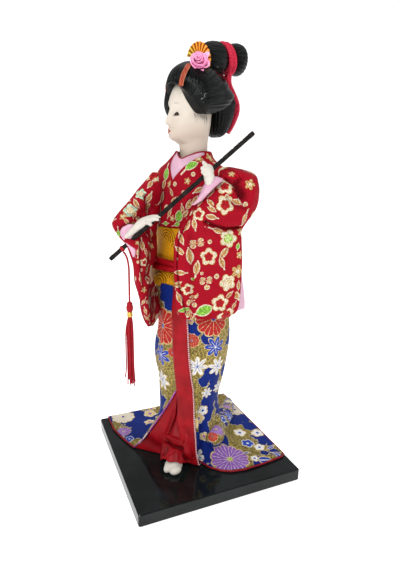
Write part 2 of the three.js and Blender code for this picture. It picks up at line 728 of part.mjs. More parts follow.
// A small pleated fan that stands before the topknot
function fanForm() {
  const pleats = 10;
  const centre = [0.8, 9.6, 283];
  const radius = 9.2;
  const hub = 2.4;
  const narrow = 0.78; // width for height
  const start = -0.5;
  const sweep = 3.3;
  const half = 0.5; // of the leaf's thickness
  const fold = 0.45; // how far the rim stands before and behind
  const leaf = (i, r, lift) => {
    const angle = start + sweep * i / pleats;
    const side = centre[0] + r * Math.cos(angle) * narrow;
    const out = centre[1] + (i % 2 ? fold : -fold) * r / radius + lift;
    return arms(side, out, centre[2] + r * Math.sin(angle));
  };
  const ring = i => [
    leaf(i, radius, half), leaf(i, radius, -half), leaf(i, hub, -half), leaf(i, hub, half),
  ];
  return loft(steps(0, pleats, pleats).map(ring));
}

// A rose of rolled satin: turns of ribbon that rise to a bud
function roseForm() {
  const centre = arms(2, 15.4, 282.4);
  const out = arms(0.15, 0.95, 0.25).normalize();
  const across = new THREE.Vector3(0, 0, 1).cross(out).normalize();
  const up = out.clone().cross(across);
  const at = (angle, r, lift) => centre.clone()
    .addScaledVector(across, Math.cos(angle) * r)
    .addScaledVector(up, Math.sin(angle) * r)
    .addScaledVector(out, lift);
  const layers = [ // radius, lift, petals
    [2.6, -3.2, 0], [5, -2.6, 0], [6, -0.5, 5], [4.6, 0.2, 5],
    [4.3, 1.6, 4], [2.8, 1.2, 4], [2.6, 2.8, 3], [1, 2.3, 3],
  ];
  return loft(layers.map(([r, lift, petals], n) => around(12).map(angle =>
    at(angle, r * (1 + (petals ? 0.1 * Math.cos(petals * angle + n) : 0)), lift))));
}

// Arms and hands

// A flat hanging bag: levels [z, front edge side, out, back edge side, out, thickness]
function bag(levels, count, sides) {
  const rows = track(levels.slice().sort((a, b) => a[0] - b[0]));
  const heights = steps(levels[0][0], levels.at(-1)[0], count).sort((a, b) => a - b);
  return loft(heights.map(z => {
    const [s0, o0, s1, o1, thick] = rows(z);
    const front = arms(s0, o0, z);
    const back = arms(s1, o1, z);
    const middle = front.clone().add(back).multiplyScalar(0.5);
    const half = back.clone().sub(front).multiplyScalar(0.5);
    const normal = new THREE.Vector3(-half.y, half.x, 0).normalize();
    return around(sides).map(angle => middle.clone()
      .addScaledVector(half, power(Math.cos(angle), 0.7))
      .addScaledVector(normal, power(Math.sin(angle), 0.8) * thick / 2));
  }));
}

const LEFT_BAG = [
  [220, 17, 18, 26, 16, 5], [217, 14.4, 18, 33, 14, 13], [212, 15, 20, 37, 14, 19],
  [207, 13, 24, 39, 14, 23], [201, 6, 28, 39.8, 14, 23], [196, 0.5, 30, 39.2, 15, 21],
  [190, -3, 31.6, 37, 17, 17], [184, -7, 33, 33, 20, 13], [179, -10.6, 33.6, 30, 22, 10.4],
  [172, -12.8, 34, 30.4, 23, 9], [158, -13, 34.6, 31.2, 24, 8], [144, -12.4, 34.6, 31, 24, 7.8],
  [130, -11.4, 34, 30.4, 23.6, 7.6], [124.5, -9.4, 33.4, 28.6, 23.8, 6.6], [121.4, -5, 32, 24.6, 24.6, 4.4],
];
const RIGHT_BAG = [
  [214, -25, 14, -14, 12, 10], [209, -28.6, 18, -15, 8, 20], [203, -33, 22, -17, 2, 23],
  [196, -39, 26, -21, 0, 23], [189, -45.6, 29, -25, 0, 20], [183, -49.6, 32, -27, 2, 17],
  [176, -47.6, 35, -28.4, 6, 16], [170, -43.2, 36, -30, 8, 13.4], [162, -39.6, 36, -32, 4, 11],
  [152, -37.6, 35, -34, 2, 10.4], [142, -36.8, 34, -34.4, 2, 10], [130, -35, 31, -33.6, 3, 9.4],
  [120, -31.8, 27, -32, 5, 8], [115, -30.4, 24, -31, 9, 5],
];

const FLUTE_LOW = arms(-53.4, 33, 160.9);
const FLUTE_HIGH = arms(33.9, 33, 238.8);
const FLUTE_HOLES = [0.3, 0.395, 0.505, 0.62, 0.8, 0.87, 0.93]; // share of the length from the low end
const FLUTE_HOLE_RADIUS = 0.8;
const FLUTE_BAND = 0.09; // likewise
const FLUTE_BAND_WIDTH = 1.8;
const FLUTE_BAND_RADIUS = 2.5;
const fluteAt = t => FLUTE_LOW.clone().lerp(FLUTE_HIGH, t);
const fluteAxis = FLUTE_HIGH.clone().sub(FLUTE_LOW).normalize();
const fluteUp = new THREE.Vector3(0, 0, 1).addScaledVector(fluteAxis, -fluteAxis.z).normalize();

function rod(from, to, radius, sides) {
  const geometry = new THREE.CylinderGeometry(radius, radius, from.distanceTo(to), sides);
  const axis = to.clone().sub(from).normalize();
  geometry.applyQuaternion(new THREE.Quaternion().setFromUnitVectors(new THREE.Vector3(0, 1, 0), axis));
  const middle = from.clone().lerp(to, 0.5);
  geometry.translate(middle.x, middle.y, middle.z);
  return geometry;
}

function fluteForm() {
  const over = (t, share) => fluteAt(t).addScaledVector(fluteUp, FLUTE_DIAMETER * share);
  const holes = FLUTE_HOLES.map(t => rod(over(t, 0.12), over(t, 1), FLUTE_HOLE_RADIUS, 5));
  return cut(rod(FLUTE_LOW, FLUTE_HIGH, FLUTE_DIAMETER / 2, 8), ...holes);
}

// The wrapping of thread that holds the tassel
function fluteBandForm() {
  const along = distance => fluteAt(FLUTE_BAND).addScaledVector(fluteAxis, distance);
  const half = FLUTE_BAND_WIDTH / 2;
  const bore = rod(along(-half - 1), along(half + 1), FLUTE_DIAMETER / 2 + GAP, 8);
  return cut(rod(along(-half), along(half), FLUTE_BAND_RADIUS, 8), bore);
}

const RIGHT_FOREARM = [
  [-42.6, 29.4, 174, 2.5], [-36.4, 29.8, 180.4, 2.6], [-31, 30.4, 185.4, 3], [-26.8, 31, 187.2, 2.7],
];
const LEFT_FOREARM = [
  [11.6, 32, 207, 2.2], [9, 33.6, 210, 2.6], [7, 36.2, 214.4, 3.2], [6.6, 36, 217.2, 2.6],
];

// A forearm and palm, and a plain room round it to hollow its cuff with
const forearm = (stations, more = 0) =>
  limb(arms, stations.map(([s, o, z, r]) => [s, o, z, r + more]), 7, 1);

const finger = stations => limb(arms, stations, 5, 1);

function rightHandForm() {
  return join(
    forearm(RIGHT_FOREARM),
    finger([[-28.4, 31, 187.6, 2], [-24.6, 34, 189.2, 1.6], [-20.8, 36.2, 187.6, 1.1]]),
    finger([[-31, 32, 184.8, 2], [-29.2, 35.2, 184.6, 1.6], [-27.4, 36.5, 183.2, 1.1]]),
    finger([[-28, 30.4, 186, 1.9], [-24, 30.4, 183.6, 1.5], [-24.2, 32.6, 181.2, 1.1]]),
  );
}

function leftHandForm() {
  return join(
    forearm(LEFT_FOREARM),
    finger([[7, 36, 216.8, 1.8], [5.6, 35.6, 220.2, 1.3], [4, 34.6, 222.8, 1]]),
    finger([[5.6, 37, 213.8, 1.8], [3.4, 36.8, 215.2, 1.5], [2.2, 35.6, 216.6, 1.1]]),
    finger([[8, 35.8, 216.8, 1.7], [8.6, 34.2, 220, 1.4], [6.8, 31.6, 220.6, 1.1]]),
  );
}

// Pink satin of the inner sleeves where it shows

function leftCuffForm() {
  return bag([
    [214.8, 10.8, 33, 12.4, 32, 3], [213, 7.6, 33.4, 15, 30, 7], [210.6, 6, 33.6, 17.4, 28, 8.6],
    [206, 4.4, 33.6, 13.4, 30, 8], [200.6, 1.6, 33.6, 6.4, 32, 5], [197, -0.8, 33.4, 1.6, 33, 2.6],
  ], 5, 10);
}

function leftDropForm() {
  return bag([
    [152, 26, 22, 31.4, 15, 2], [142, 26, 22, 33.4, 13.4, 2.4], [131, 26, 22, 35.2, 12.4, 2.6],
    [124, 26, 22, 35.6, 12.4, 2],
  ], 3, 10);
}

// The right cuff, or with some room round it
function rightCuffForm(room = 0) {
  const mouth = [[-46, 28.4, 173.4, 4.6], [-42, 30, 175, 5.6], [-37.4, 31, 178.8, 4.8]];
  const fall = [
    [173 + room, -41.6, 38, -38, 33, 5], [168, -41, 38.4, -36.6, 34, 4], [163 - room, -39.6, 38, -36.8, 35, 2],
  ].map(([z, s0, o0, s1, o1, thick]) => [z, s0 - room, o0 + room, s1 + room, o1 - room, thick + 2 * room]);
  return join(
    limb(arms, mouth.map(([side, out, z, r]) => [side, out, z, r + room]), 8, 1),
    bag(fall, 2, 8),
  );
}

// Tassel on the flute

const TASSEL_SIDE = -41.5; // arms plan, where it hangs
const TASSEL_OUT = 34;
const TASSEL_ROUTE = [
  [-43.1, 33, 165.2], [-42.3, 33.1, 163.6], [-41.8, 33.4, 161.2], [-41.6, 33.7, 158.2],
  ...[155, 151.6, 148, 144, 140, 136, 132.4].map(z => [TASSEL_SIDE, TASSEL_OUT, z]),
];

function tasselCordForm() {
  const points = TASSEL_ROUTE.map(([side, out, z]) => arms(side, out, z));
  return tube(new THREE.CatmullRomCurve3(points), TASSEL_CORD_DIAMETER, 8, 12);
}

function turnedOn(axis, profile, sides) {
  const geometry = new THREE.LatheGeometry(profile.map(([r, z]) => new THREE.Vector2(r, z)), sides);
  geometry.rotateX(Math.PI / 2);
  geometry.translate(axis.x, axis.y, 0);
  return geometry;
}

const tasselAxis = arms(TASSEL_SIDE, TASSEL_OUT, 0);

function tasselHeadForm() {
  return turnedOn(tasselAxis, [
    [0, 126.9], [1.2, 126.9], [2, 128], [2.1, 129.4], [1.5, 130.8], [2, 131.2], [0.9, 132.1], [0, 132.1],
  ], 8);
}

function tasselRingForm() {
  return turnedOn(tasselAxis, [
    [0, 123.9], [1.5, 123.9], [1.8, 124.6], [1.8, 126], [1.5, 126.6], [0, 126.6],
  ], 8);
}

// Strands that hang in a bundle, with grooves between them and ends of their own lengths
function tasselStrandsForm() {
  const rows = track([[74, 2.9], [80, 3.3], [95, 3.4], [108, 3.2], [117, 2.4], [123.6, 1.5]]);
  return loft([74, 80, 98, 112, 119, 123.6].map(z => {
    const r = rows(z)[0];
    return around(16).map(angle => {
      const reach = r * (1 + 0.12 * Math.cos(8 * angle));
      const at = tasselAxis.clone().setZ(z);
      return at.add(new THREE.Vector3(Math.cos(angle), Math.sin(angle), 0).multiplyScalar(reach));
    });
  }));
}

// Upper figure, each piece cut to clear the ones it touches

const headSolid = join(headForm(), noseForm());
const obi = obiForm();
const obiCord = obiCordForm();
const flute = fluteForm();
const fluteRoom = rod(FLUTE_LOW, FLUTE_HIGH, FLUTE_DIAMETER / 2 + 2 * GAP, 6);
const trunk = trunkForm();
// Room for the neck
const neckRoom = (from, to, radius, sides) =>
  loft([from, to].map(z => oval(head, z, radius, radius, radius, 0, 0, sides)));
const chest = cut(chestForm(), neckRoom(220.6, 232, 10, 14));
const collarOutline = [
  [-12.6, 233], [-9.8, 226], [-4.8, 216], [-0.6, 208.6], [5, 216], [11, 226], [13.4, 233],
];
const collarInset = [
  [-11.8, 233], [-9.2, 226], [-4.3, 216.4], [-0.6, 209.6], [4.5, 216.4], [10.4, 226], [12.6, 233],
];
const underCollar = overlap(inflate(chest, -0.5), prism(torso, collarInset, -40, -2.4));
const bodice = cut(chest, prism(torso, collarOutline, -40, -2));

const rightHand = cut(rightHandForm(), fluteRoom);
const leftHand = cut(leftHandForm(), fluteRoom);
const rightCuff = cut(rightCuffForm(), forearm(RIGHT_FOREARM, 2 * GAP), fluteRoom);
const leftCuff = cut(leftCuffForm(), forearm(LEFT_FOREARM, 2 * GAP), fluteRoom);
const leftSleeve = cut(fit(bag(LEFT_BAG, 11, 14), leftCuffForm()), trunk, fluteRoom);
const tasselRoom = rod(arms(-43.4, 32.9, 168), arms(-41.6, 34, 149), 1.9, 6);
const bandRoom = rod(fluteAt(FLUTE_BAND - 0.02), fluteAt(FLUTE_BAND + 0.02), 3.2, 8);
const rightSleeve = cut(
  bag(RIGHT_BAG, 10, 14), rightCuffForm(2 * GAP),
  trunk, fluteRoom, forearm(RIGHT_FOREARM, 2 * GAP), tasselRoom, bandRoom,
);
const leftDrop = fit(leftDropForm(), leftSleeve);

add("obi", fit(obi, obiCord), GOLD_BROCADE);
add("obi_cord", obiCord, RED_SATIN);
add("obi_knot", cut(obiKnotForm(), trunk), GOLD_BROCADE);
add("bodice", bodice, RED_BROCADE);
add("under_collar", underCollar, PINK_SATIN);
add("left_sleeve", leftSleeve, RED_BROCADE);
add("right_sleeve", rightSleeve, RED_BROCADE);
add("left_inner_cuff", leftCuff, PINK_SATIN);
add("left_inner_drop", leftDrop, PINK_SATIN);
add("right_inner_cuff", rightCuff, PINK_SATIN);
add("right_hand", rightHand, GOFUN);
add("left_hand", leftHand, GOFUN);
add("flute", flute, FLUTE_BLACK);
add("flute_band", fluteBandForm(), RED_CORD);
add("tassel_cord", tasselCordForm(), RED_CORD);
add("tassel_head", tasselHeadForm(), RED_CORD);
add("tassel_ring", tasselRingForm(), GILT);
add("tassel_strands", tasselStrandsForm(), RED_CORD);

const topknotCord = topknotCordForm();
const topknot = fit(join(topknotForm(), topknotRoot()), capForm());
const rose = roseForm();
const fan = fanForm();
const dome = capForm();
add("head", headSolid, GOFUN);
add("hair_cap", cut(dome, headRoom(), prism(head, HAIRLINE, -60, -5)), HAIR_BLACK);
add("nape_roll", cut(napeForm(), headRoom(), neckRoom(220, 240, 10, 12)), HAIR_BLACK);
add("topknot", topknot, HAIR_BLACK);
add("topknot_cord", topknotCord, RED_CORD);
add("hair_cord_tail_near", tailForm(TAIL_NEAR), RED_CORD);
add("hair_cord_tail_far", tailForm(TAIL_FAR), RED_CORD);
add("hair_rose", fit(rose, dome, topknot), PINK_SATIN);
add("hair_fan", fit(fan, dome, topknot, rose), FAN_GOLD);
add("hair_ribbon_near", fit(ribbonForm(1), rose), RIBBON_RED);
add("hair_ribbon_far", ribbonForm(-1), RIBBON_RED);

const doll = new THREE.Group();
add("base_plate", plinth(), LACQUER, doll);
doll.add(figure);

export default doll;
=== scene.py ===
# %% [markdown]
# # A geisha doll that plays the flute
# The doll is about 30 cm tall. Its clothes are real brocade and satin over a padded body, its skin is white
# gofun, its hair is combed black thread set with gloss, and it stands on a black lacquered board. The
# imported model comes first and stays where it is. Every piece below is laid over it, in metres.

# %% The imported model
import json
from math import cos, pi, radians, sin

import bpy
import numpy as np
from mathutils import Matrix, Vector
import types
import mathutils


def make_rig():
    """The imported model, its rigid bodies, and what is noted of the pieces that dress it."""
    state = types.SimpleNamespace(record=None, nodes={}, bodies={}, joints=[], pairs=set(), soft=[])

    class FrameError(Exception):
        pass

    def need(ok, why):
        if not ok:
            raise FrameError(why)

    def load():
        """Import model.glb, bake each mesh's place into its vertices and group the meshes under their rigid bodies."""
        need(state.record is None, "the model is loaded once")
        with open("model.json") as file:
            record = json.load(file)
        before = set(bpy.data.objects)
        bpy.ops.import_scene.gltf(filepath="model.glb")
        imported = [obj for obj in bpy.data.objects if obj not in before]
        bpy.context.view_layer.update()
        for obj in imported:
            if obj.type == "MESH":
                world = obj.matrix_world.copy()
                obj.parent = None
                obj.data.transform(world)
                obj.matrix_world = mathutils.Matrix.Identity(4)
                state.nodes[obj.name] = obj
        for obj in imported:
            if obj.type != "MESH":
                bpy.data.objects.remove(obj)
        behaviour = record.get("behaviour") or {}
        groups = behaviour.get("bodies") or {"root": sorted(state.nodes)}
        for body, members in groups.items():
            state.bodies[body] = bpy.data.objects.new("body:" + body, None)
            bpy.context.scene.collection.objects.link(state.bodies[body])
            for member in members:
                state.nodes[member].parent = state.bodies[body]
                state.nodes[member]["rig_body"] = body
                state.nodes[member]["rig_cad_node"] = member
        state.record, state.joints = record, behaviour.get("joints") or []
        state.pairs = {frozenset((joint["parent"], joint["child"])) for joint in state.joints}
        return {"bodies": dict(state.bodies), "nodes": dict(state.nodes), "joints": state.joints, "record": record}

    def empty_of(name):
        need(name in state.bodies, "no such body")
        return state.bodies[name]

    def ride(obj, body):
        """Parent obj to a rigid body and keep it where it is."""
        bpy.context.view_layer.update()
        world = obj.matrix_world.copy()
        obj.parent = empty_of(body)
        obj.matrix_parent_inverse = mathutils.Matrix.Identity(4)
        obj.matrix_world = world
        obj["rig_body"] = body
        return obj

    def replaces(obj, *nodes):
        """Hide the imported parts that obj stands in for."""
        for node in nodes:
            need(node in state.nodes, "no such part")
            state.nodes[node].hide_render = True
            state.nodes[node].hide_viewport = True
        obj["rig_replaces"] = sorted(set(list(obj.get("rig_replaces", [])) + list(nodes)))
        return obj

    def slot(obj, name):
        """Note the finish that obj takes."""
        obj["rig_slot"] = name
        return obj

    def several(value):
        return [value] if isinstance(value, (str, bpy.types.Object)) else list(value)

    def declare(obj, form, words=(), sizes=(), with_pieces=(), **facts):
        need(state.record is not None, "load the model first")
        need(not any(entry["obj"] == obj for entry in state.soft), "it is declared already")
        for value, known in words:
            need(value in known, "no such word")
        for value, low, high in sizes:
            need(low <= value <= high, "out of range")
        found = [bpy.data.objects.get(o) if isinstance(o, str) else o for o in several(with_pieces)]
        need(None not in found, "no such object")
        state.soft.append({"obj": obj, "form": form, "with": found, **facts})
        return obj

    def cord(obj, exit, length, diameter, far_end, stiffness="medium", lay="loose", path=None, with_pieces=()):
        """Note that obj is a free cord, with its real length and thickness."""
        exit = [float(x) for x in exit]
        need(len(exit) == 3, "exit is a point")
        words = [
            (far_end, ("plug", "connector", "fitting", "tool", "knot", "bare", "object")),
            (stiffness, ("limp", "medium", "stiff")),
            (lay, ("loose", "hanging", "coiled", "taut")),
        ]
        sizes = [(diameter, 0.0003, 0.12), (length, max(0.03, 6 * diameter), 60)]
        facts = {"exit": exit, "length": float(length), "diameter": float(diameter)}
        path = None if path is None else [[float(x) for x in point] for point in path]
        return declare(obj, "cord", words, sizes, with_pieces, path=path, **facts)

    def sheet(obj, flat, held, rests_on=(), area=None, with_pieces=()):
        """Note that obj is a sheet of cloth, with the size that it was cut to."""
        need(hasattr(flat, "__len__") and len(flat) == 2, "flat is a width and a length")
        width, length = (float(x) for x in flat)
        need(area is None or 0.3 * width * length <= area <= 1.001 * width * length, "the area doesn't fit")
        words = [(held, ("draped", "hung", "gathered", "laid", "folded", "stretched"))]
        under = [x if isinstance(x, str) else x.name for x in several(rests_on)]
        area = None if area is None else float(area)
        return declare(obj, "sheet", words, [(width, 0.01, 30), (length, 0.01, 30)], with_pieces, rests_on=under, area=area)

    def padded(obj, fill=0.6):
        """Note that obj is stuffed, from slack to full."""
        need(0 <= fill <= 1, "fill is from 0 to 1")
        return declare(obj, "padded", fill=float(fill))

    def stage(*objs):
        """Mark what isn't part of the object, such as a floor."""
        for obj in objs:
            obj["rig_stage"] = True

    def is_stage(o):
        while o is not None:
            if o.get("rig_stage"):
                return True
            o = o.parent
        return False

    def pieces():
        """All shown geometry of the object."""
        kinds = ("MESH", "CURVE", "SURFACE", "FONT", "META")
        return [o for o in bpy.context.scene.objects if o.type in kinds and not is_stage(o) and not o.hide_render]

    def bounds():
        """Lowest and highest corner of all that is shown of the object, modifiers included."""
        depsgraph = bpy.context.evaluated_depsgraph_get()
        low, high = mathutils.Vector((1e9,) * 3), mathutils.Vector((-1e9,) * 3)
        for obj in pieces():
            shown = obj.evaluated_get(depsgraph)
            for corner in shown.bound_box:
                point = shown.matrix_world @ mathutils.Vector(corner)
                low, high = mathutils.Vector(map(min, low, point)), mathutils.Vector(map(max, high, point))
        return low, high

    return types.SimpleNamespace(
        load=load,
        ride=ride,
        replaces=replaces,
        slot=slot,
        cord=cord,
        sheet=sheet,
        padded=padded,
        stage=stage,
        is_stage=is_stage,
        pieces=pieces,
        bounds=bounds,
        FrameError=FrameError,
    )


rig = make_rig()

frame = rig.load()
packed_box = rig.bounds()
print("packed nodes:", len(frame["nodes"]))

# %% [markdown]
# ## The camera
# The lens sits a little above the doll's waist and looks slightly down, so the top of the board shows. The
# same lens is also used as a pair of eyes later on: a blossom can be laid on the cloth where the line of
# sight through a place in the picture meets it.

# %% Camera
PICTURE = (400, 570)
EYE = Vector((-0.11963, -0.28315, 0.21386))
HEADING, DIP, ROLL = 0.413412, 0.245241, 0.019708
bpy.ops.object.camera_add(location=EYE)
camera = bpy.context.object
camera.name = "camera"
camera.data.sensor_fit = "VERTICAL"
camera.data.sensor_height = 36
camera.data.lens = 27.777
turn = Matrix.Rotation(-HEADING, 4, "Z") @ Matrix.Rotation(pi / 2 - DIP, 4, "X")
turn = turn @ Matrix.Rotation(ROLL, 4, "Z")
camera.rotation_euler = turn.to_euler()
bpy.context.scene.camera = camera
RIGHT, UP, BACK = (np.array(turn.to_3x3().col[i]) for i in range(3))
FOCAL = camera.data.lens / camera.data.sensor_height * PICTURE[1]


def seen_at(points):
    """Where points, in metres, are in the picture, counted in its pixels from the top left."""
    away = np.asarray(points) - np.array(EYE)
    depth = -(away @ BACK)
    return np.stack([PICTURE[0] / 2 + FOCAL * (away @ RIGHT) / depth,
                     PICTURE[1] / 2 - FOCAL * (away @ UP) / depth], -1)


def sight(x, y):
    """The direction in which the lens looks through a place in the picture."""
    across, up = (x - PICTURE[0] / 2) / FOCAL, (PICTURE[1] / 2 - y) / FOCAL
    return Vector(across * RIGHT + up * UP - BACK).normalized()


print("focal length in pixels:", round(FOCAL, 2))

# %% [markdown]
# ## Frames of the figure
# The figure stands on the board's diagonal. It is easiest to think of it in millimetres with its face
# forwards, so each part of the body has its own little frame, and every place ends up in metres on the
# turned figure.

# %% Frames
MM = 0.001
DIAGONAL = radians(-45)


def doll(x, y, z):
    """Millimetres in the doll's own frame, in which it looks along -y, as metres in the scene."""
    x, y, z = np.broadcast_arrays(x, y, z)
    c, s = cos(DIAGONAL), sin(DIAGONAL)
    return np.stack([x * c - y * s, x * s + y * c, z], -1) * MM


def turned(x, y, z, angle, cx=0.0, cy=0.0):
    x, y, z = np.broadcast_arrays(x, y, z)
    return doll(cx + x * cos(angle) - y * sin(angle), cy + x * sin(angle) + y * cos(angle), z)


def arms(side, out, z):
    return turned(side, -np.asarray(out), z, radians(22))


def torso(x, y, z):
    return turned(x, y, z, radians(-20), -2)


def head(x, y, z):
    return turned(x, y, z, radians(-41), -2.5, 1)


def track(rows):
    """Numbers that change smoothly along a key, such as the widths of a body at its heights."""
    rows = np.array(rows, float)
    keys, values = rows[:, 0], rows[:, 1:]
    count = len(keys)
    before = np.maximum(np.arange(count) - 1, 0)
    after = np.minimum(np.arange(count) + 1, count - 1)
    slopes = (values[after] - values[before]) / (keys[after] - keys[before])[:, None]

    def at(key):
        key = np.clip(np.asarray(key, float), keys[0], keys[-1])
        i = np.clip(np.searchsorted(keys, key, side="right") - 1, 0, count - 2)
        step = (keys[i + 1] - keys[i])[..., None]
        t = (key - keys[i])[..., None] / step
        found = ((2 * t**3 - 3 * t**2 + 1) * values[i] + (t**3 - 2 * t**2 + t) * step * slopes[i]
                 + (3 * t**2 - 2 * t**3) * values[i + 1] + (t**3 - t**2) * step * slopes[i + 1])
        return np.moveaxis(found, -1, 0)
    return at


def unit(directions):
    """The same directions with a length of one."""
    return directions / np.linalg.norm(directions, axis=-1, keepdims=True)


def bump(x, centre, width):
    """A hill of height one round a centre."""
    return np.exp(-(((x - centre) / width) ** 2))


def rise(x, low, high):
    """0 below low, 1 above high, and a soft step between."""
    t = np.clip((x - low) / (high - low), 0, 1)
    return t * t * (3 - 2 * t)


def power(value, exponent):
    """A power that keeps the sign, to make a round outline squarer."""
    return np.sign(value) * np.abs(value) ** exponent


print("30 mm in front of the doll, in metres:", doll(0, -30, 0).round(4))

# %% [markdown]
# ## Laying cloth and turning forms
# Most of this doll is cloth. A sheet starts as a flat grid, and a rule says where each of its points hangs.
# The grid keeps the cloth's own measures as UVs, in metres along and across, so that a weave has the right
# size. A tube or a rounded form is the same grid closed on itself, with its first and last rows drawn
# together.

# %% Mesh helpers
def alone(piece):
    """Make one object the only one selected, and the one that the next operator works on."""
    bpy.ops.object.select_all(action="DESELECT")
    piece.select_set(True)
    bpy.context.view_layer.objects.active = piece


def values(items, name, width=3):
    """One property of all of a mesh's parts: rows of numbers, or whole numbers where the width is 0."""
    found = np.empty(len(items) * max(width, 1), np.float32 if width else int)
    items.foreach_get(name, found)
    return found.reshape(-1, width).astype(float) if width else found


def corners(piece):
    return values(piece.data.vertices, "co")


def move_corners(piece, places):
    piece.data.vertices.foreach_set("co", np.asarray(places, np.float32).ravel())
    piece.data.update()


def outwards(piece):
    return values(piece.data.vertex_normals, "vector")


def area_of(piece):
    return sum(face.area for face in piece.data.polygons)


def apply_modifiers(piece):
    alone(piece)
    for modifier in list(piece.modifiers):
        bpy.ops.object.modifier_apply(modifier=modifier.name)


def wall(piece, thickness, side=-1):
    modifier = piece.modifiers.new("wall", "SOLIDIFY")
    modifier.thickness = thickness * MM
    modifier.offset = side
    modifier.use_even_offset = False
    apply_modifiers(piece)


def in_edit(piece, *steps):
    """Run edit mode operators on all of a piece."""
    alone(piece)
    bpy.ops.object.mode_set(mode="EDIT")
    bpy.ops.mesh.select_all(action="SELECT")
    for step in steps:
        step()
    bpy.ops.object.mode_set(mode="OBJECT")


print("mesh helpers ready")

# %% Grids
def lay(name, across, along, place, closed=False, capped=False, thick=0, away_from=None, side=-1,
        measure=None):
    """A grid of faces laid by place(s, t), where s and t go from 0 to 1. closed joins its seams, and capped
    closes its ends. thick gives the cloth a wall in millimetres. away_from is a point that its outside
    faces away from. measure(s, t) gives UVs of another kind than the cloth's own measures."""
    rows = along + 2 if capped else along
    bpy.ops.object.select_all(action="DESELECT")
    bpy.ops.mesh.primitive_grid_add(x_subdivisions=across, y_subdivisions=rows, size=2)
    piece = bpy.context.object
    piece.name = piece.data.name = name
    flat = corners(piece)
    i = np.rint((flat[:, 0] / 2 + 0.5) * across).astype(int)
    j = np.rint((flat[:, 1] / 2 + 0.5) * rows).astype(int)
    step = np.clip(j - 1, 0, along) if capped else j
    places = place(i / across, step / along)
    grid = np.zeros((rows + 1, across + 1, 3))
    grid[j, i] = places
    if capped:
        grid[0] = grid[1].mean(0)
        grid[-1] = grid[-2].mean(0)
    move_corners(piece, grid[j, i])
    u = np.zeros(grid.shape[:2])
    u[:, 1:] = np.cumsum(np.linalg.norm(np.diff(grid, axis=1), axis=2), 1)
    u -= u[:, across // 2][:, None]
    v = np.zeros(grid.shape[:2])
    v[1:] = np.cumsum(np.linalg.norm(np.diff(grid, axis=0), axis=2), 0)
    v[:] = v.mean(1)[:, None] * 0.5 + v * 0.5
    if measure is not None:
        u[j, i], v[j, i] = np.array(measure(i / across, step / along)) * MM
    layer = piece.data.uv_layers[0]
    layer.name = "cloth"
    index = values(piece.data.loops, "vertex_index", 0)
    layer.data.foreach_set("uv", np.stack([u[j, i], v[j, i]], -1)[index].astype(np.float32).ravel())
    if closed or capped:
        in_edit(piece, lambda: bpy.ops.mesh.remove_doubles(threshold=2e-6))
    core = places.mean(0) if away_from is None else np.array(away_from)
    if ((corners(piece) - core) * outwards(piece)).sum() < 0:
        in_edit(piece, bpy.ops.mesh.flip_normals)
    piece["across"] = float(np.linalg.norm(np.diff(grid, axis=1), axis=2).sum(1).max())
    piece["along"] = float(np.linalg.norm(np.diff(grid, axis=0), axis=2).sum(0).max())
    if thick:
        wall(piece, thick, side)
    alone(piece)
    bpy.ops.object.shade_smooth()
    return piece


def form(name, around, along, place, **more):
    """A rounded form: a grid closed on itself, with its first and last rows drawn together."""
    return lay(name, around, along, place, closed=True, capped=True, **more)


print("grid helpers ready")

# %% [markdown]
# ## Materials, first the plain ones
# Each finish is built from a few nodes: colour that varies a little, a bump at the scale of the thread or
# the brush, and a roughness that follows it. A small helper carries numbers through Math nodes, so that a
# pattern can be written like a formula.

# %% Numbers in nodes
class Wire:
    """A number that varies over a surface, carried by shader nodes."""

    def __init__(self, tree, source):
        self.tree, self.source = tree, source

    def math(self, operation, *others):
        node = self.tree.nodes.new("ShaderNodeMath")
        node.operation = operation
        for k, value in enumerate((self, *others)):
            if isinstance(value, Wire):
                self.tree.links.new(value.source, node.inputs[k])
            else:
                node.inputs[k].default_value = value
        return Wire(self.tree, node.outputs[0])

    def __add__(self, other):
        return self.math("ADD", other)

    def __sub__(self, other):
        return self.math("SUBTRACT", other)

    def __mul__(self, other):
        return self.math("MULTIPLY", other)

    def __truediv__(self, other):
        return self.math("DIVIDE", other)

    def __pow__(self, other):
        return self.math("POWER", other)

    __radd__ = __add__
    __rmul__ = __mul__

    def __rsub__(self, other):
        return (self * -1.0) + other

    def least(self, other):
        return self.math("MINIMUM", other)

    def most(self, other):
        return self.math("MAXIMUM", other)

    def size(self):
        return self.math("ABSOLUTE")

    def wave(self):
        return self.math("SINE")

    def over(self, low, high):
        """0 where the number is below low, 1 where it is above high, and a soft step between."""
        node = self.tree.nodes.new("ShaderNodeMapRange")
        node.interpolation_type = "SMOOTHSTEP"
        self.tree.links.new(self.source, node.inputs[0])
        limits = (low, high, 0, 1) if low < high else (high, low, 1, 0)
        for socket, value in zip(node.inputs[1:5], limits):
            socket.default_value = value
        return Wire(self.tree, node.outputs[0])


print("node helpers ready")

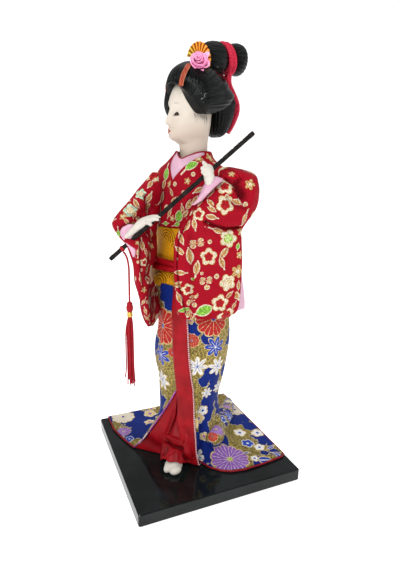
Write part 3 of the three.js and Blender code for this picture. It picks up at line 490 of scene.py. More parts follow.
# %% A finish
class Finish:
    """A material, its main shader, and short ways to add nodes to it."""

    def __init__(self, name, colour, roughness, shine=0.5, **sockets):
        self.material = bpy.data.materials.new(name)
        self.material.use_nodes = True
        self.tree = self.material.node_tree
        self.shader = self.tree.nodes["Principled BSDF"]
        self.shader.inputs["Base Color"].default_value = (*colour, 1)
        self.shader.inputs["Roughness"].default_value = roughness
        self.shader.inputs["Specular IOR Level"].default_value = shine
        for socket, value in sockets.items():
            self.shader.inputs[socket.replace("_", " ")].default_value = value

    def put(self, socket, value):
        if isinstance(value, Wire):
            value = value.source
        if isinstance(value, bpy.types.NodeSocket):
            self.tree.links.new(value, socket)
        else:
            socket.default_value = value

    def apart(self, vector):
        """The three numbers of a vector."""
        node = self.tree.nodes.new("ShaderNodeSeparateXYZ")
        self.tree.links.new(vector, node.inputs[0])
        return [Wire(self.tree, output) for output in node.outputs]

    def layer(self, name):
        """The two measures that a UV layer gives."""
        node = self.tree.nodes.new("ShaderNodeUVMap")
        node.uv_map = name
        return self.apart(node.outputs[0])[:2]

    def measures(self):
        """The cloth's own measures, across and along, in millimetres."""
        return [number * 1000.0 for number in self.layer("cloth")]

    def height(self):
        """How high a place in the scene is, in millimetres, for patterns that go through a form."""
        spot = self.tree.nodes.new("ShaderNodeTexCoord")
        return self.apart(spot.outputs["Object"])[2] * 1000.0

    def attribute(self, name):
        """A number that the piece remembers for each point or face."""
        node = self.tree.nodes.new("ShaderNodeAttribute")
        node.attribute_name = name
        return Wire(self.tree, node.outputs["Fac"])

    def joined(self, x, y, z=0.0):
        node = self.tree.nodes.new("ShaderNodeCombineXYZ")
        for k, value in enumerate((x, y, z)):
            self.put(node.inputs[k], value)
        return node.outputs[0]

    def clouds(self, scale, detail=2.0, at=None):
        """Smooth random patches, with scale patches in each metre or in each unit of at."""
        node = self.tree.nodes.new("ShaderNodeTexNoise")
        if at is None:
            spot = self.tree.nodes.new("ShaderNodeTexCoord")
            at = spot.outputs["Object"]
        self.tree.links.new(at, node.inputs["Vector"])
        node.inputs["Scale"].default_value = scale
        node.inputs["Detail"].default_value = detail
        return Wire(self.tree, node.outputs["Fac"])

    def mix(self, share, one, other):
        node = self.tree.nodes.new("ShaderNodeMix")
        node.data_type = "RGBA"
        self.put(node.inputs[0], share)
        for socket, value in ((node.inputs[6], one), (node.inputs[7], other)):
            self.put(socket, (*value, 1) if isinstance(value, tuple) else value)
        return node.outputs[2]

    def paint(self, base, *layers):
        """Lay colours over each other, each through its mask."""
        for mask, colour in layers:
            base = self.mix(mask, base, colour)
        return base

    def under(self):
        """The colour that the finish has so far."""
        return self.shader.inputs["Base Color"].links[0].from_socket

    def colour(self, value):
        self.put(self.shader.inputs["Base Color"], value)

    def rough(self, value):
        self.put(self.shader.inputs["Roughness"], value)

    def relief(self, height, depth):
        """Bump from a height of 0 to 1, that stands for a depth in millimetres."""
        node = self.tree.nodes.new("ShaderNodeBump")
        node.inputs["Strength"].default_value = 1
        node.inputs["Distance"].default_value = depth * MM
        self.put(node.inputs["Height"], height)
        self.tree.links.new(node.outputs[0], self.shader.inputs["Normal"])

    def tell(self):
        print(self.material.name, "nodes:", len(self.tree.nodes))


print("finish helpers ready")

# %% [markdown]
# ### Satin, cord, lacquer, skin and hair
# Satin shines in broad soft bands and hardly shows its thread. Crocheted cord is matt. The board is black
# lacquer that mirrors the hem. Gofun is ground shell, matt and a little warm. The hair is gloss-set thread.

# %% Satin and piping
def satin(name, deep, light, roughness=0.42, shine=0.25):
    finish = Finish(name, deep, roughness, shine)
    u, v = finish.measures()
    threads = (u * 9.0 + v * 3.0).wave() * 0.25 + (v * 13.0).wave() * 0.25 + 0.5
    mottle = finish.clouds(90.0, 3.0)
    # Painted shade: deep in a crease, read from the crease attribute, the satin is mixed towards dark, a third of its
    # deep colour.
    dark = tuple(0.3 * c for c in deep)
    silk = finish.mix(mottle.over(0.35, 0.7), deep, light)
    finish.colour(finish.mix(finish.attribute("crease") * 0.85, silk, dark))
    finish.rough(mottle * 0.12 + roughness - 0.05)
    finish.relief(threads * 0.5 + finish.clouds(900.0) * 0.5, 0.05)
    return finish


red_satin = satin("red satin", (0.22, 0.0015, 0.005), (0.33, 0.003, 0.009), shine=0.15)
pink_satin = satin("pink satin", (0.54, 0.31, 0.41), (0.64, 0.40, 0.50), shine=0.2)
rose_satin = satin("rose satin", (0.80, 0.24, 0.46), (0.96, 0.48, 0.70), 0.36)
dark_piping = satin("dark red piping", (0.20, 0.004, 0.012), (0.30, 0.008, 0.02))
purple_piping = satin("purple piping", (0.26, 0.02, 0.24), (0.40, 0.05, 0.34))

twisted_piping = Finish("white and pink twist", (0.8, 0.6, 0.6), 0.6, 0.2)
twist_along = twisted_piping.measures()[1]
twist_gap = (twist_along * 4.2 + twisted_piping.clouds(300.0) * 6.0).wave().over(-0.3, 0.5)
twisted_piping.colour(twisted_piping.mix(twist_gap, (0.42, 0.07, 0.12), (0.66, 0.55, 0.50)))
twisted_piping.relief(twist_gap, 0.3)

print("materials so far:", len(bpy.data.materials))

# %% Cord and lacquer
cord_red = Finish("red cord", (0.52, 0.008, 0.02), 0.65, 0.2)
cord_fuzz = cord_red.clouds(1400.0, 3.0)
cord_red.colour(cord_red.mix(cord_fuzz.over(0.3, 0.7), (0.20, 0.0015, 0.006), (0.40, 0.006, 0.016)))
cord_red.relief(cord_fuzz, 0.12)

crochet = Finish("crocheted cord", (0.52, 0.008, 0.02), 0.6, 0.25)
crochet_u, crochet_v = crochet.measures()
# Painted highlight and shade on the stitch pattern: each stitch is lighter in the middle and darker in the gaps
# between.
stitches = (crochet_u * 3.4).wave() * (crochet_v * 3.4).wave() * 0.5 + 0.5
crochet.colour(crochet.mix(stitches.over(0.25, 0.85), (0.34, 0.001, 0.008), (0.78, 0.035, 0.10)))
crochet.relief(stitches, 0.35)

lacquer = Finish("black lacquer", (0.006, 0.008, 0.008), 0.07, 0.2)
lacquer_dust = lacquer.clouds(60.0, 4.0)
lacquer.colour(lacquer.mix(lacquer_dust.over(0.3, 0.7), (0.004, 0.005, 0.005), (0.009, 0.012, 0.012)))
lacquer.rough(lacquer_dust * 0.08 + 0.04)

print("materials so far:", len(bpy.data.materials))

# %% Gofun and hair
def skin(name, deep, light):
    finish = Finish(name, deep, 0.5, 0.35)
    tone = finish.clouds(120.0, 3.0)
    finish.colour(finish.mix(tone.over(0.3, 0.7), deep, light))
    finish.rough(tone * 0.2 + 0.42)
    finish.relief(finish.clouds(1500.0), 0.03)
    return finish


gofun = skin("white gofun", (0.53, 0.49, 0.43), (0.58, 0.545, 0.485))

hair = Finish("black hair", (0.003, 0.003, 0.003), 0.2, 0.17)
hair_u = hair.measures()[0]
hair_wander = hair.clouds(220.0, 2.0)
strand = (hair_u * 7.0 + hair_wander * 7.0).wave() * 0.5 + 0.5
fine_strand = (hair_u * 19.0 + hair_wander * 12.0).wave() * 0.5 + 0.5
hair.colour(hair.mix(strand, (0.0015, 0.002, 0.002), (0.005, 0.0055, 0.0055)))
hair.rough(strand * 0.04 + hair_wander * 0.06 + 0.09)
hair.relief(strand * 0.6 + fine_strand * 0.4 + hair_wander * 0.4, 0.13)

hair.tell()

# %% [markdown]
# ### Gold, ribbon and wood
# The gilt thread is wound in level turns, so its grooves go by height. The pleats of the fan turn from
# orange to olive gold, and one face of each pleat is painted darker, a painted shade. The ribbons are shot
# with gold, and the flute is black with a little grain.

# %% Gold, ribbon and wood
gilt = Finish("gilt thread", (0.83, 0.55, 0.12), 0.3, Metallic=1.0)
gilt_wind = gilt.height()
gilt.relief((gilt_wind * 14.0).wave() * 0.5 + 0.5, 0.12)

fan_gold = Finish("pleated gold", (0.7, 0.3, 0.04), 0.38, Metallic=0.35)
fan_s = fan_gold.measures()[0]
# Painted shade: one face of each pleat is darker, and the same wave gives the pleats their bump.
pleat_light = (fan_s * 2 * pi).wave() * 0.5 + 0.5
fan_tone = fan_gold.mix(fan_s.over(7.5, 10.5), (0.86, 0.34, 0.035), (0.60, 0.50, 0.05))
fan_light = (pleat_light * 0.75 + fan_gold.clouds(700.0) * 0.4).over(0.25, 0.75)
fan_gold.colour(fan_gold.mix(fan_light, (0.34, 0.055, 0.012), fan_tone))
fan_gold.relief(pleat_light, 0.3)


def ribbon_finish(name, deep, light, fleck):
    """Stiff ribbon shot with gold: flecks along its length and a gold edge on each side."""
    finish = Finish(name, deep, 0.45, 0.3)
    across, along = finish.measures()
    grain = finish.joined(across * 2.2, along * 0.9)
    flecks = finish.clouds(1.0, 3.0, grain).over(0.52, 0.60)
    sides = across.size().over(1.15, 1.4)
    woven = finish.mix(finish.clouds(900.0).over(0.4, 0.6), deep, light)
    finish.colour(finish.mix(flecks.most(sides * 0.6), woven, fleck))
    finish.relief(flecks, 0.1)
    return finish


ribbon_near_finish = ribbon_finish(
    "gold shot ribbon", (0.25, 0.010, 0.007), (0.34, 0.026, 0.012), (0.46, 0.17, 0.07))
ribbon_far_finish = ribbon_finish(
    "dark ribbon", (0.16, 0.004, 0.012), (0.26, 0.008, 0.02), (0.36, 0.08, 0.05))

black_wood = Finish("black flute", (0.008, 0.007, 0.007), 0.35, 0.08)
wood_grain = black_wood.clouds(500.0, 4.0)
black_wood.colour(black_wood.mix(wood_grain.over(0.4, 0.7), (0.006, 0.005, 0.005), (0.02, 0.016, 0.014)))
black_wood.rough(wood_grain * 0.2 + 0.38)

print("materials so far:", len(bpy.data.materials))

# %% [markdown]
# ## Brocade
# The robes are figured brocade: blossoms, leaves and maples in white, gold and colours on a red twill, and
# on the skirt chrysanthemums and maples on gold and blue. The motifs are large and lie in known places, so
# a repeating pattern would not do. Each motif is laid at its place on the cloth: the faces near it get
# local measures, from -1 to 1 across the motif, and a number for its kind. The material then draws petals
# and veins from those measures. On the side that the picture shows, a motif is placed where the line of
# sight meets the cloth. The rest of the cloth is strewn evenly with the same kinds.

# %% Laying motifs
def remember(piece, name, where, numbers):
    """Keep a number for each point or face of a piece, that its finish can read."""
    found = piece.data.attributes.new(name, "FLOAT", where)
    found.data.foreach_set("value", numbers.astype(np.float32))


ROOM = 1.12


def met(piece, x, y, size):
    """Where the line of sight through a place in the picture meets a piece: the place, the size there of
    something that is size pixels large, and the outward direction. The list is empty where it misses."""
    hit, at, normal, _ = piece.ray_cast(EYE, sight(x, y))
    return [(np.array(at), size * (at - EYE).length / FOCAL, np.array(normal))] if hit else []


def motif_spots(piece, seen):
    """Kind, place, size and directions of the motifs that are given by their places in the picture."""
    bpy.context.view_layer.update()
    spots = []
    for kind, x, y, size, angle in seen:
        for at, large, n in met(piece, x, y, size):
            side = unit(RIGHT - n * (RIGHT @ n))
            over = np.cross(n, side)
            c, s = cos(radians(angle)), sin(radians(angle))
            spots.append((kind, at, large, c * side + s * over, c * over - s * side, n))
    return spots


def strewn(piece, spots, rest, seed):
    """More motifs on the rest of the cloth, each clear of the others. rest has kinds, sizes and shares."""
    chance = np.random.default_rng(seed)
    centres, normals = (values(piece.data.polygons, name) for name in ("center", "normal"))
    if spots:
        turned_away = (unit(np.array(EYE) - centres) * normals).sum(1) < -0.15
        centres, normals = centres[turned_away], normals[turned_away]
    kinds, sizes, shares = (np.array(column, float) for column in zip(*rest))
    for k in np.argsort(-sizes):
        tries = int(140 * shares[k]) + 20
        for face in chance.integers(len(centres), size=tries):
            at, n, size = centres[face], normals[face], sizes[k] * MM * (0.9 + 0.2 * chance.random())
            if all(np.linalg.norm(at - spot[1]) > ROOM * (size + spot[2]) for spot in spots):
                side = unit(np.cross(n, chance.normal(size=3)))
                spots.append((kinds[k], at, size, side, np.cross(n, side), n))
    return spots


def lay_motifs(piece, seen, rest, seed):
    """Give every face near a motif the motif's kind, and its corners their measures across the motif."""
    spots = strewn(piece, motif_spots(piece, seen), rest, seed)
    mesh = piece.data
    count = len(mesh.polygons)
    centres, normals = (values(mesh.polygons, name) for name in ("center", "normal"))
    nearest = np.zeros(count, int)
    best = np.full(count, 9.0)
    for k, (_, at, size, _, _, n) in enumerate(spots):
        gap = np.linalg.norm(centres - at, axis=1) / size + 3.0 * (np.abs(normals @ n) < 0.15)
        closer = gap < best
        best[closer], nearest[closer] = gap[closer], k
    kinds = np.where(best < 2.2, np.array([spot[0] for spot in spots])[nearest], 0)
    remember(piece, "kind", "FACE", kinds)
    face_of = np.repeat(np.arange(count), values(mesh.polygons, "loop_total", 0))
    at, size, side, over = (np.array([spot[k] for spot in spots])[nearest[face_of]] for k in (1, 2, 3, 4))
    away = corners(piece)[values(mesh.loops, "vertex_index", 0)] - at
    local = np.stack([(away * side).sum(1), (away * over).sum(1)], -1) / size[:, None]
    local[kinds[face_of] == 0] = 9.0
    layer = mesh.uv_layers.new(name="motif")
    layer.data.foreach_set("uv", local.astype(np.float32).ravel())
    mesh.uv_layers.active = mesh.uv_layers["cloth"]
    print(piece.name, "motifs:", len(spots))


# %% [markdown]
# ### Petals, leaves and veins as formulas
# A five-petalled blossom is a circle whose radius swells five times round. A chrysanthemum swells ten times
# and has fine lines between its petals. A maple leaf has seven pointed lobes. A leaf is a lens with a rib.

# %% Drawing motifs
CREAM, GOLD = (0.72, 0.62, 0.42), (0.50, 0.32, 0.07)


class Motif:
    """Masks for the motif that a face belongs to, from its local measures."""

    def __init__(self, finish):
        self.x, self.y = finish.layer("motif")
        self.r = (self.x * self.x + self.y * self.y) ** 0.5
        self.angle = self.y.math("ARCTAN2", self.x)
        self.kind = finish.attribute("kind")

    def of(self, *kinds):
        found = None
        for kind in kinds:
            one = self.kind.math("COMPARE", float(kind), 0.4)
            found = one if found is None else found.most(one)
        return found

    def lobes(self, count):
        """1 in the middle of each of count petals, and 0 between them."""
        return (self.angle * (count / 2)).math("COSINE").size()

    def inside(self, edge, soft=0.05):
        return (edge - self.r).over(-soft / 2, soft / 2)

    def disc(self, radius, soft=0.05):
        return self.r.over(radius + soft / 2, radius - soft / 2)

    def leaf(self, width, grow=0.0):
        reach = (1.0 - (self.x * self.x).least(1.0)) ** 0.75
        return (reach * width + (grow - 0.02) - self.y.size()).over(-0.03, 0.03)


# %% [markdown]
# ### Red twill brocade of the upper robe
# The ground is red silk in a slanting weave. The motifs lie a little higher, in thicker white, gold and
# green thread with a gold outline, so they are added to the bump as well as to the colour.

# %% Red brocade
def red_brocade_finish():
    finish = Finish("red brocade", (0.5, 0.01, 0.02), 0.6, 0.09)
    m = Motif(finish)
    u, v = finish.measures()
    twill = ((u + v) * 4.6).wave() * 0.5 + 0.5
    fine = ((u - v * 0.4) * 19.0).wave() * 0.5 + 0.5
    thread = finish.clouds(1300.0, 2.0).over(0.38, 0.62)
    worn = finish.clouds(70.0, 3.0)
    ground = finish.mix(twill * 0.75 + worn * 0.25, (0.19, 0.0008, 0.006), (0.42, 0.0022, 0.016))
    white = finish.mix(thread, (0.44, 0.35, 0.22), (0.70, 0.66, 0.54))
    gold = finish.mix(thread, (0.26, 0.12, 0.03), (0.66, 0.47, 0.20))
    red = finish.mix(thread, (0.22, 0.004, 0.008), (0.50, 0.012, 0.02))
    green = finish.mix(thread, (0.09, 0.24, 0.02), (0.30, 0.58, 0.08))
    mint = finish.mix(thread, (0.20, 0.42, 0.32), (0.52, 0.74, 0.60))
    five = m.lobes(5)
    edge = five**1.1 * 0.30 + 0.66
    petals, rim = m.inside(edge), m.inside(edge + 0.09)
    ring, eye = m.inside(five * 0.12 + 0.47), m.inside(five * 0.12 + 0.40)
    rays = m.lobes(10).over(0.86, 0.97) * m.disc(0.3)
    spokes = eye * finish.clouds(1100.0, 1.0).over(0.56, 0.64).most(rays)
    spokes = spokes * (1.0 - m.disc(0.06))
    flower = m.of(1, 2, 3, 4)
    leaf, leaf_rim = m.leaf(0.40), m.leaf(0.40, 0.15)
    wide_leaf, wide_rim = m.leaf(0.60), m.leaf(0.60, 0.16)
    rib = m.leaf(0.40) * m.y.size().over(0.07, 0.03)
    veins = (m.x * 16.0 - m.y.size() * 14.0).wave().over(0.5, 0.9)
    bud, bud_rim = m.disc(0.55), m.disc(0.85)
    bend = (m.x * 3.0).wave() * 0.14
    stem = (m.y - bend).size().over(0.075, 0.035) * m.x.size().over(1.0, 0.96)
    side_leaf = (m.x.size() - 0.48) ** 2.0 * 9.0 + ((m.y - bend).size() - 0.30) ** 2.0 * 26.0
    colour = finish.paint(
        ground,
        (flower * rim, gold), (m.of(1, 2, 3) * petals, white), (m.of(4) * petals, mint),
        (flower * ring, gold), (m.of(1) * eye, red), (m.of(3) * eye, green), (m.of(2, 4) * eye, white),
        (m.of(1) * spokes, (0.16, 0.004, 0.006)), (m.of(3) * spokes, CREAM), (m.of(2, 4) * spokes, GOLD),
        (m.of(5) * wide_rim, white), (m.of(5) * wide_leaf, green),
        (m.of(6) * leaf_rim, white), (m.of(6) * leaf, gold),
        (m.of(6) * rib, (0.22, 0.02, 0.02)), (m.of(5) * wide_leaf * veins, (0.10, 0.26, 0.03)),
        (m.of(6) * leaf * veins, (0.34, 0.15, 0.04)),
        (m.of(7) * bud_rim, white), (m.of(7) * bud, gold), (m.of(8) * stem, gold),
        (m.of(8) * side_leaf.over(1.5, 1.1), white), (m.of(8) * side_leaf.over(0.8, 0.5), gold),
        (m.of(9) * m.inside(five * 0.5 + 0.5), gold), (m.of(9) * m.disc(0.3), white),
    )
    # Painted shade: deep in a crease, read from the crease attribute, the brocade is mixed towards a near black red.
    finish.colour(finish.mix(finish.attribute("crease") * 0.9, colour, (0.10, 0.001, 0.004)))
    raised = (flower * rim).most(m.of(6) * leaf_rim).most(m.of(5) * wide_rim)
    raised = raised.most(m.of(7) * bud_rim).most(m.of(8) * stem)
    finish.rough(0.66 - raised * 0.2)
    finish.relief((twill * 0.65 + fine * 0.15) * (1.0 - raised) + raised * (thread * 0.35 + 0.55), 0.22)
    return finish


red_brocade = red_brocade_finish()
red_brocade.tell()

# %% [markdown]
# ### Gold and blue brocade of the skirt
# The ground glitters with flat gold thread, and royal blue clouds run through it with a pale edge. An even
# gold would look like paint, so the thread comes and goes in small cells, and only its bright parts are
# metallic.

# %% Skirt brocade
def skirt_brocade_finish():
    finish = Finish("skirt brocade", (0.4, 0.3, 0.1), 0.5, 0.12)
    m = Motif(finish)
    u, v = finish.measures()
    twill = ((u + v * 1.1) * 6.6).wave() * 0.5 + 0.5
    thread = finish.clouds(1500.0, 2.0).over(0.36, 0.66)
    cells = ((u + v) * 3.1).wave() * ((u - v) * 3.1).wave() * 0.5 + 0.5
    speckle = finish.clouds(620.0, 2.0)
    glint = (cells * 0.45 + thread * 0.25 + speckle * 0.5).over(0.45, 0.78)
    gold = finish.mix(glint, (0.032, 0.021, 0.007), (0.56, 0.43, 0.12))
    blue = finish.mix(twill * 0.5 + thread * 0.3, (0.002, 0.007, 0.09), (0.005, 0.032, 0.28))
    scallop = (finish.clouds(170.0, 0.0) - 0.5) * 0.7 + (finish.clouds(520.0, 0.0) - 0.5) * 0.22
    blueness = (finish.attribute("blue") + scallop).over(0.40, 0.45)
    rimmed = (finish.attribute("blue") + scallop).over(0.35, 0.38) * (1.0 - blueness) * thread
    white = finish.mix(thread, (0.52, 0.50, 0.46), (0.84, 0.83, 0.80))
    cream = finish.mix(thread, (0.52, 0.46, 0.36), (0.80, 0.75, 0.64))
    line = finish.mix(thread, (0.44, 0.28, 0.08), (0.82, 0.66, 0.36))
    red = finish.mix(twill * 0.5 + thread * 0.4, (0.28, 0.008, 0.012), (0.56, 0.03, 0.03))
    purple = finish.mix(twill * 0.5 + thread * 0.4, (0.16, 0.05, 0.30), (0.36, 0.16, 0.56))
    royal = finish.mix(twill * 0.5 + thread * 0.3, (0.010, 0.03, 0.26), (0.03, 0.10, 0.52))
    ground = finish.paint(gold, (rimmed, cream), (blueness, blue))
    petal = m.lobes(10) + (m.lobes(12) - m.lobes(10)) * m.of(2)
    edge = petal**0.5 * 0.20 + 0.80
    mum, mum_rim = m.inside(edge - 0.02), m.inside(edge + 0.04)
    between = (petal * m.r).over(0.10, 0.05) * m.r.over(0.16, 0.2)
    middles = ((petal - 1.0).size() * m.r).over(0.006, 0.003) * m.r.over(0.45, 0.5)
    gaps = between.most(middles) * (thread * 0.7 + 0.3)
    seven = m.lobes(7)
    star_edge = seven**1.1 * 0.62 + 0.38
    star, star_rim = m.inside(star_edge), m.inside(star_edge + 0.09)
    veins = ((m.angle * 3.5).wave().size() * m.r).over(0.10, 0.05) * m.disc(0.66)
    five = m.lobes(5)
    bloom_edge = five**0.5 * 0.36 + 0.56
    bloom, bloom_rim = m.inside(bloom_edge), m.inside(bloom_edge + 0.14)
    leaf, leaf_rim = m.leaf(0.42), m.leaf(0.42, 0.14)
    colour = finish.paint(
        ground,
        (m.of(1, 2, 3) * mum_rim, line), (m.of(1) * mum, red),
        (m.of(2) * mum, purple), (m.of(3) * mum, cream),
        (m.of(1, 2, 3) * gaps * mum, line), (m.of(3) * gaps * mum, (0.30, 0.22, 0.10)),
        (m.of(2) * gaps * mum, white), (m.of(1, 2, 3) * m.disc(0.16), line),
        (m.of(1, 3) * m.disc(0.12), royal), (m.of(2) * m.disc(0.09), (0.3, 0.5, 0.1)),
        (m.of(4) * star_rim, line), (m.of(4) * star, white), (m.of(4) * veins, royal),
        (m.of(5) * star_rim, line), (m.of(5) * star, royal), (m.of(5) * veins, white),
        (m.of(6) * bloom_rim, line), (m.of(6) * bloom, white), (m.of(6) * m.disc(0.24), royal),
        (m.of(7) * bloom_rim, white), (m.of(7) * bloom, royal), (m.of(7) * m.disc(0.2), white),
        (m.of(8) * bloom_rim, cream), (m.of(8) * bloom, line), (m.of(8) * m.disc(0.28), purple),
        (m.of(9) * leaf_rim, line), (m.of(9) * leaf, royal),
        (m.of(9) * leaf * m.y.size().over(0.08, 0.04), white),
    )
    finish.colour(colour)
    golden = (1.0 - blueness) * (1.0 - m.of(1, 2, 3, 4, 5, 6, 7, 8, 9) * m.disc(0.95))
    finish.put(finish.shader.inputs["Metallic"], golden * glint * 0.5)
    finish.rough(0.62 - golden * glint * 0.22)
    finish.relief(glint * 0.6 + twill * 0.2, 0.26)
    return finish


skirt_brocade = skirt_brocade_finish()
skirt_brocade.tell()

# %% [markdown]
# ### Gold brocade of the sash
# The sash is mustard gold with dark drawn arcs, like waves of combed sand, placed where the picture shows
# them.

# %% Sash brocade
def sash_brocade_finish():
    finish = Finish("sash brocade", (0.5, 0.3, 0.03), 0.5, 0.15)
    m = Motif(finish)
    u, v = finish.measures()
    weave = (u * 9.0).wave() * (v * 11.0).wave() * 0.5 + 0.5
    thread = finish.clouds(1500.0, 2.0).over(0.35, 0.65)
    patches = finish.clouds(70.0, 2.0)
    ground = finish.mix(thread * 0.6 + patches * 0.4, (0.42, 0.17, 0.002), (0.80, 0.40, 0.010))
    dark = (0.075, 0.014, 0.003)
    rings = (m.r * 23.0).wave().over(0.2, 0.6) * m.r.over(0.2, 0.28) * m.disc(1.2) * (thread * 0.35 + 0.65)
    arcs = rings * m.y.over(-0.25, 0.05)
    heart = m.disc(0.14)
    finish.colour(finish.paint(
        ground, (m.of(1) * arcs, dark), (m.of(2) * rings, dark), (m.of(1, 2) * heart, (0.42, 0.20, 0.02))))
    finish.put(finish.shader.inputs["Metallic"], thread * 0.15)
    finish.relief(weave * 0.5 + thread * 0.3, 0.16)
    return finish


sash_brocade = sash_brocade_finish()
sash_brocade.tell()

# %% [markdown]
# ## Sweeping a form along a line
# Cords, strands, fingers and the flute are each a round outline that is carried along a smooth line. A
# bevelled curve would give a plain tube. A grid laid by a rule can also swell and narrow on its way, as a
# plait does at each stitch and a finger at its tip.

# %% Sweeps
def run(points, count):
    """A smooth line through points: its places at even steps, and two directions across it at each."""
    points = np.array(points, float)
    length = np.r_[0, np.cumsum(np.linalg.norm(np.diff(points, axis=0), axis=1))]
    line = track(np.column_stack([length, points]))
    fine = line(np.linspace(0, length[-1], 800)).T
    true = np.r_[0, np.cumsum(np.linalg.norm(np.diff(fine, axis=0), axis=1))]
    even = np.stack([np.interp(np.linspace(0, true[-1], count + 1), true, fine[:, k]) for k in range(3)], -1)
    heading = unit(np.gradient(even, axis=0))
    over = [unit(np.cross(heading[0], [0, 0, 1] if abs(heading[0][2]) < 0.9 else [1, 0, 0]))]
    for direction in heading[1:]:
        over.append(unit(over[-1] - direction * (over[-1] @ direction)))
    over = np.array(over)
    return even, over, np.cross(heading, over), true[-1]


def sweep(name, points, radius, around, along):
    """A round form along a line of points in metres. radius(angle, share) is in millimetres."""
    line, over, under, length = run(points, along)

    def place(s, t):
        row = np.rint(t * along).astype(int)
        angle = s * 2 * pi
        r = radius(angle, t) * MM
        r = r[..., None] if np.ndim(r) else r
        return line[row] + r * (np.cos(angle)[:, None] * over[row] + np.sin(angle)[:, None] * under[row])
    piece = form(name, around, along, place)
    piece["length"] = float(length)
    return piece, line


def joined(name, *parts):
    alone(parts[0])
    for part in parts[1:]:
        part.select_set(True)
    bpy.ops.object.join()
    piece = bpy.context.object
    piece.name = piece.data.name = name
    return piece


def dress(piece, finish, slot, *replaces):
    """Give a piece its finish and its slot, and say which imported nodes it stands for."""
    piece.data.materials.clear()
    piece.data.materials.append(finish.material)
    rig.ride(piece, "root")
    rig.slot(piece, slot)
    if replaces:
        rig.replaces(piece, *replaces)


print("sweep helpers ready")

# %% [markdown]
# ## The cords
# Three cords hang free: the thin one that carries the flute's tassel, and the two tails of the crocheted
# cord that binds the topknot. They come first, because their lengths are facts. Each follows the route of
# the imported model.

# %% Cords
def plait(length, diameter, stitch, depth):
    """The radius of a plaited cord, in millimetres: its stitches lean one way and then the other."""
    def radius(angle, share):
        along = share * length / stitch * 2 * pi
        return diameter / 2 + depth * np.cos(2 * angle + along) * np.cos(2 * angle - along) - depth / 2
    return radius


TASSEL_ROUTE = [
    (-44.9, 33.4, 166), (-43.6, 33.6, 164.4), (-42.6, 33.7, 162), (-41.9, 33.9, 158.8), (-41.5, 34, 155),
    (-41.5, 34, 151.6), (-41.5, 34, 148), (-41.5, 34, 144), (-41.5, 34, 140), (-41.5, 34, 136),
    (-41.5, 34, 132.4),
]
TAIL_NEAR = [
    (3.3, 25, 280.8), (3.4, 24.2, 277.4), (3.5, 24.6, 272.8), (3.9, 27.6, 267.4), (4.2, 30, 262.8),
    (4.3, 31, 259), (4.3, 30.6, 254.8), (4, 29, 250.4), (3.5, 26.9, 246), (2.6, 24.6, 242),
]
TAIL_FAR = [(x - 5.4, y + 0.5, z - 0.3) for x, y, z in TAIL_NEAR[:-1]]

TASSEL_DIAMETER, TAIL_DIAMETER = 1.3, 3.2
TASSEL_PLAIT = plait(36, TASSEL_DIAMETER, 1.4, 0.1)
TAIL_PLAIT = plait(41, TAIL_DIAMETER, 2.4, 0.34)

tassel_cord, tassel_line = sweep("tassel_line", [arms(*p) for p in TASSEL_ROUTE], TASSEL_PLAIT, 12, 90)
dress(tassel_cord, cord_red, "red_cord", "tassel_cord")
print("tassel cord, mm:", round(tassel_cord["length"] / MM, 1))
for name, route in (("tail_near", TAIL_NEAR), ("tail_far", TAIL_FAR)):
    tail, tail_line = sweep(name, [head(*p) for p in route], TAIL_PLAIT, 20, 110)
    dress(tail, crochet, "red_cord", "hair_cord_" + name)
    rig.cord(tail, exit=tail_line[0], length=tail["length"], diameter=TAIL_DIAMETER * MM, far_end="bare",
            stiffness="limp", lay="hanging", path=tail_line)
    print(name, "mm:", round(tail["length"] / MM, 1))

# %% [markdown]
# ## The tassel
# A wound knot, a gilt ring and a skirt of silk strands hang from the flute's cord. A cone with a striped
# bump would do from far away. Here the knot and the ring are turned forms, and each strand is a thin sweep
# of its own length that swells outwards and back, and a few go astray, because a real tassel is seen
# through at its end.

# %% Knot and ring of the tassel
TASSEL_SIDE, TASSEL_OUT = -41.5, 34


def tassel_turned(name, profile, groove):
    """A form turned about the tassel's middle from radii and heights, with grooves by angle and height."""
    rows = track([(k, z, r) for k, (r, z) in enumerate(profile)])

    def place(s, t):
        z, r = rows(t * (len(profile) - 1))
        angle = s * 2 * pi
        r = r + groove(angle, z)
        middle = arms(TASSEL_SIDE, TASSEL_OUT, z)
        return middle + np.stack([r * np.cos(angle), r * np.sin(angle), 0 * r], -1) * MM
    return form(name, 32, 40, place)


KNOT_PROFILE = [
    (0.6, 126.9), (1.6, 127.1), (2.1, 128.4), (2.2, 129.8), (1.8, 131.2), (1.9, 132.0), (1.4, 133.0),
    (0.6, 133.5),
]
RING_PROFILE = [(0.6, 123.3), (1.6, 123.5), (1.8, 124.2), (1.7, 125.9), (1.5, 126.7), (0.6, 126.9)]
tassel_head = tassel_turned("tassel_knot", KNOT_PROFILE, lambda angle, z: 0.12 * np.cos(10 * angle + z * 3))
dress(tassel_head, cord_red, "red_cord", "tassel_head")
tassel_ring = tassel_turned("tassel_gilt", RING_PROFILE, lambda angle, z: 0.08 * np.cos(z * 2 * pi / 0.45))
dress(tassel_ring, gilt, "gilt_thread", "tassel_ring")

print("knot and ring faces:", len(tassel_head.data.polygons), len(tassel_ring.data.polygons))

# %% Strands of the tassel
STRANDS, STRAND_RADIUS = 26, 0.42
STRAND_TOP, STRAND_LOWEST, STRAND_UNEVEN = 123.6, 74, 9
STRAY_BY = (0, 0, 0, 1.5, -0.9, 0)
GOLDEN_TURN = 2.399963
silk = np.random.default_rng(7)
astray = arms(-1, 0, 0) - arms(0, 0, 0)


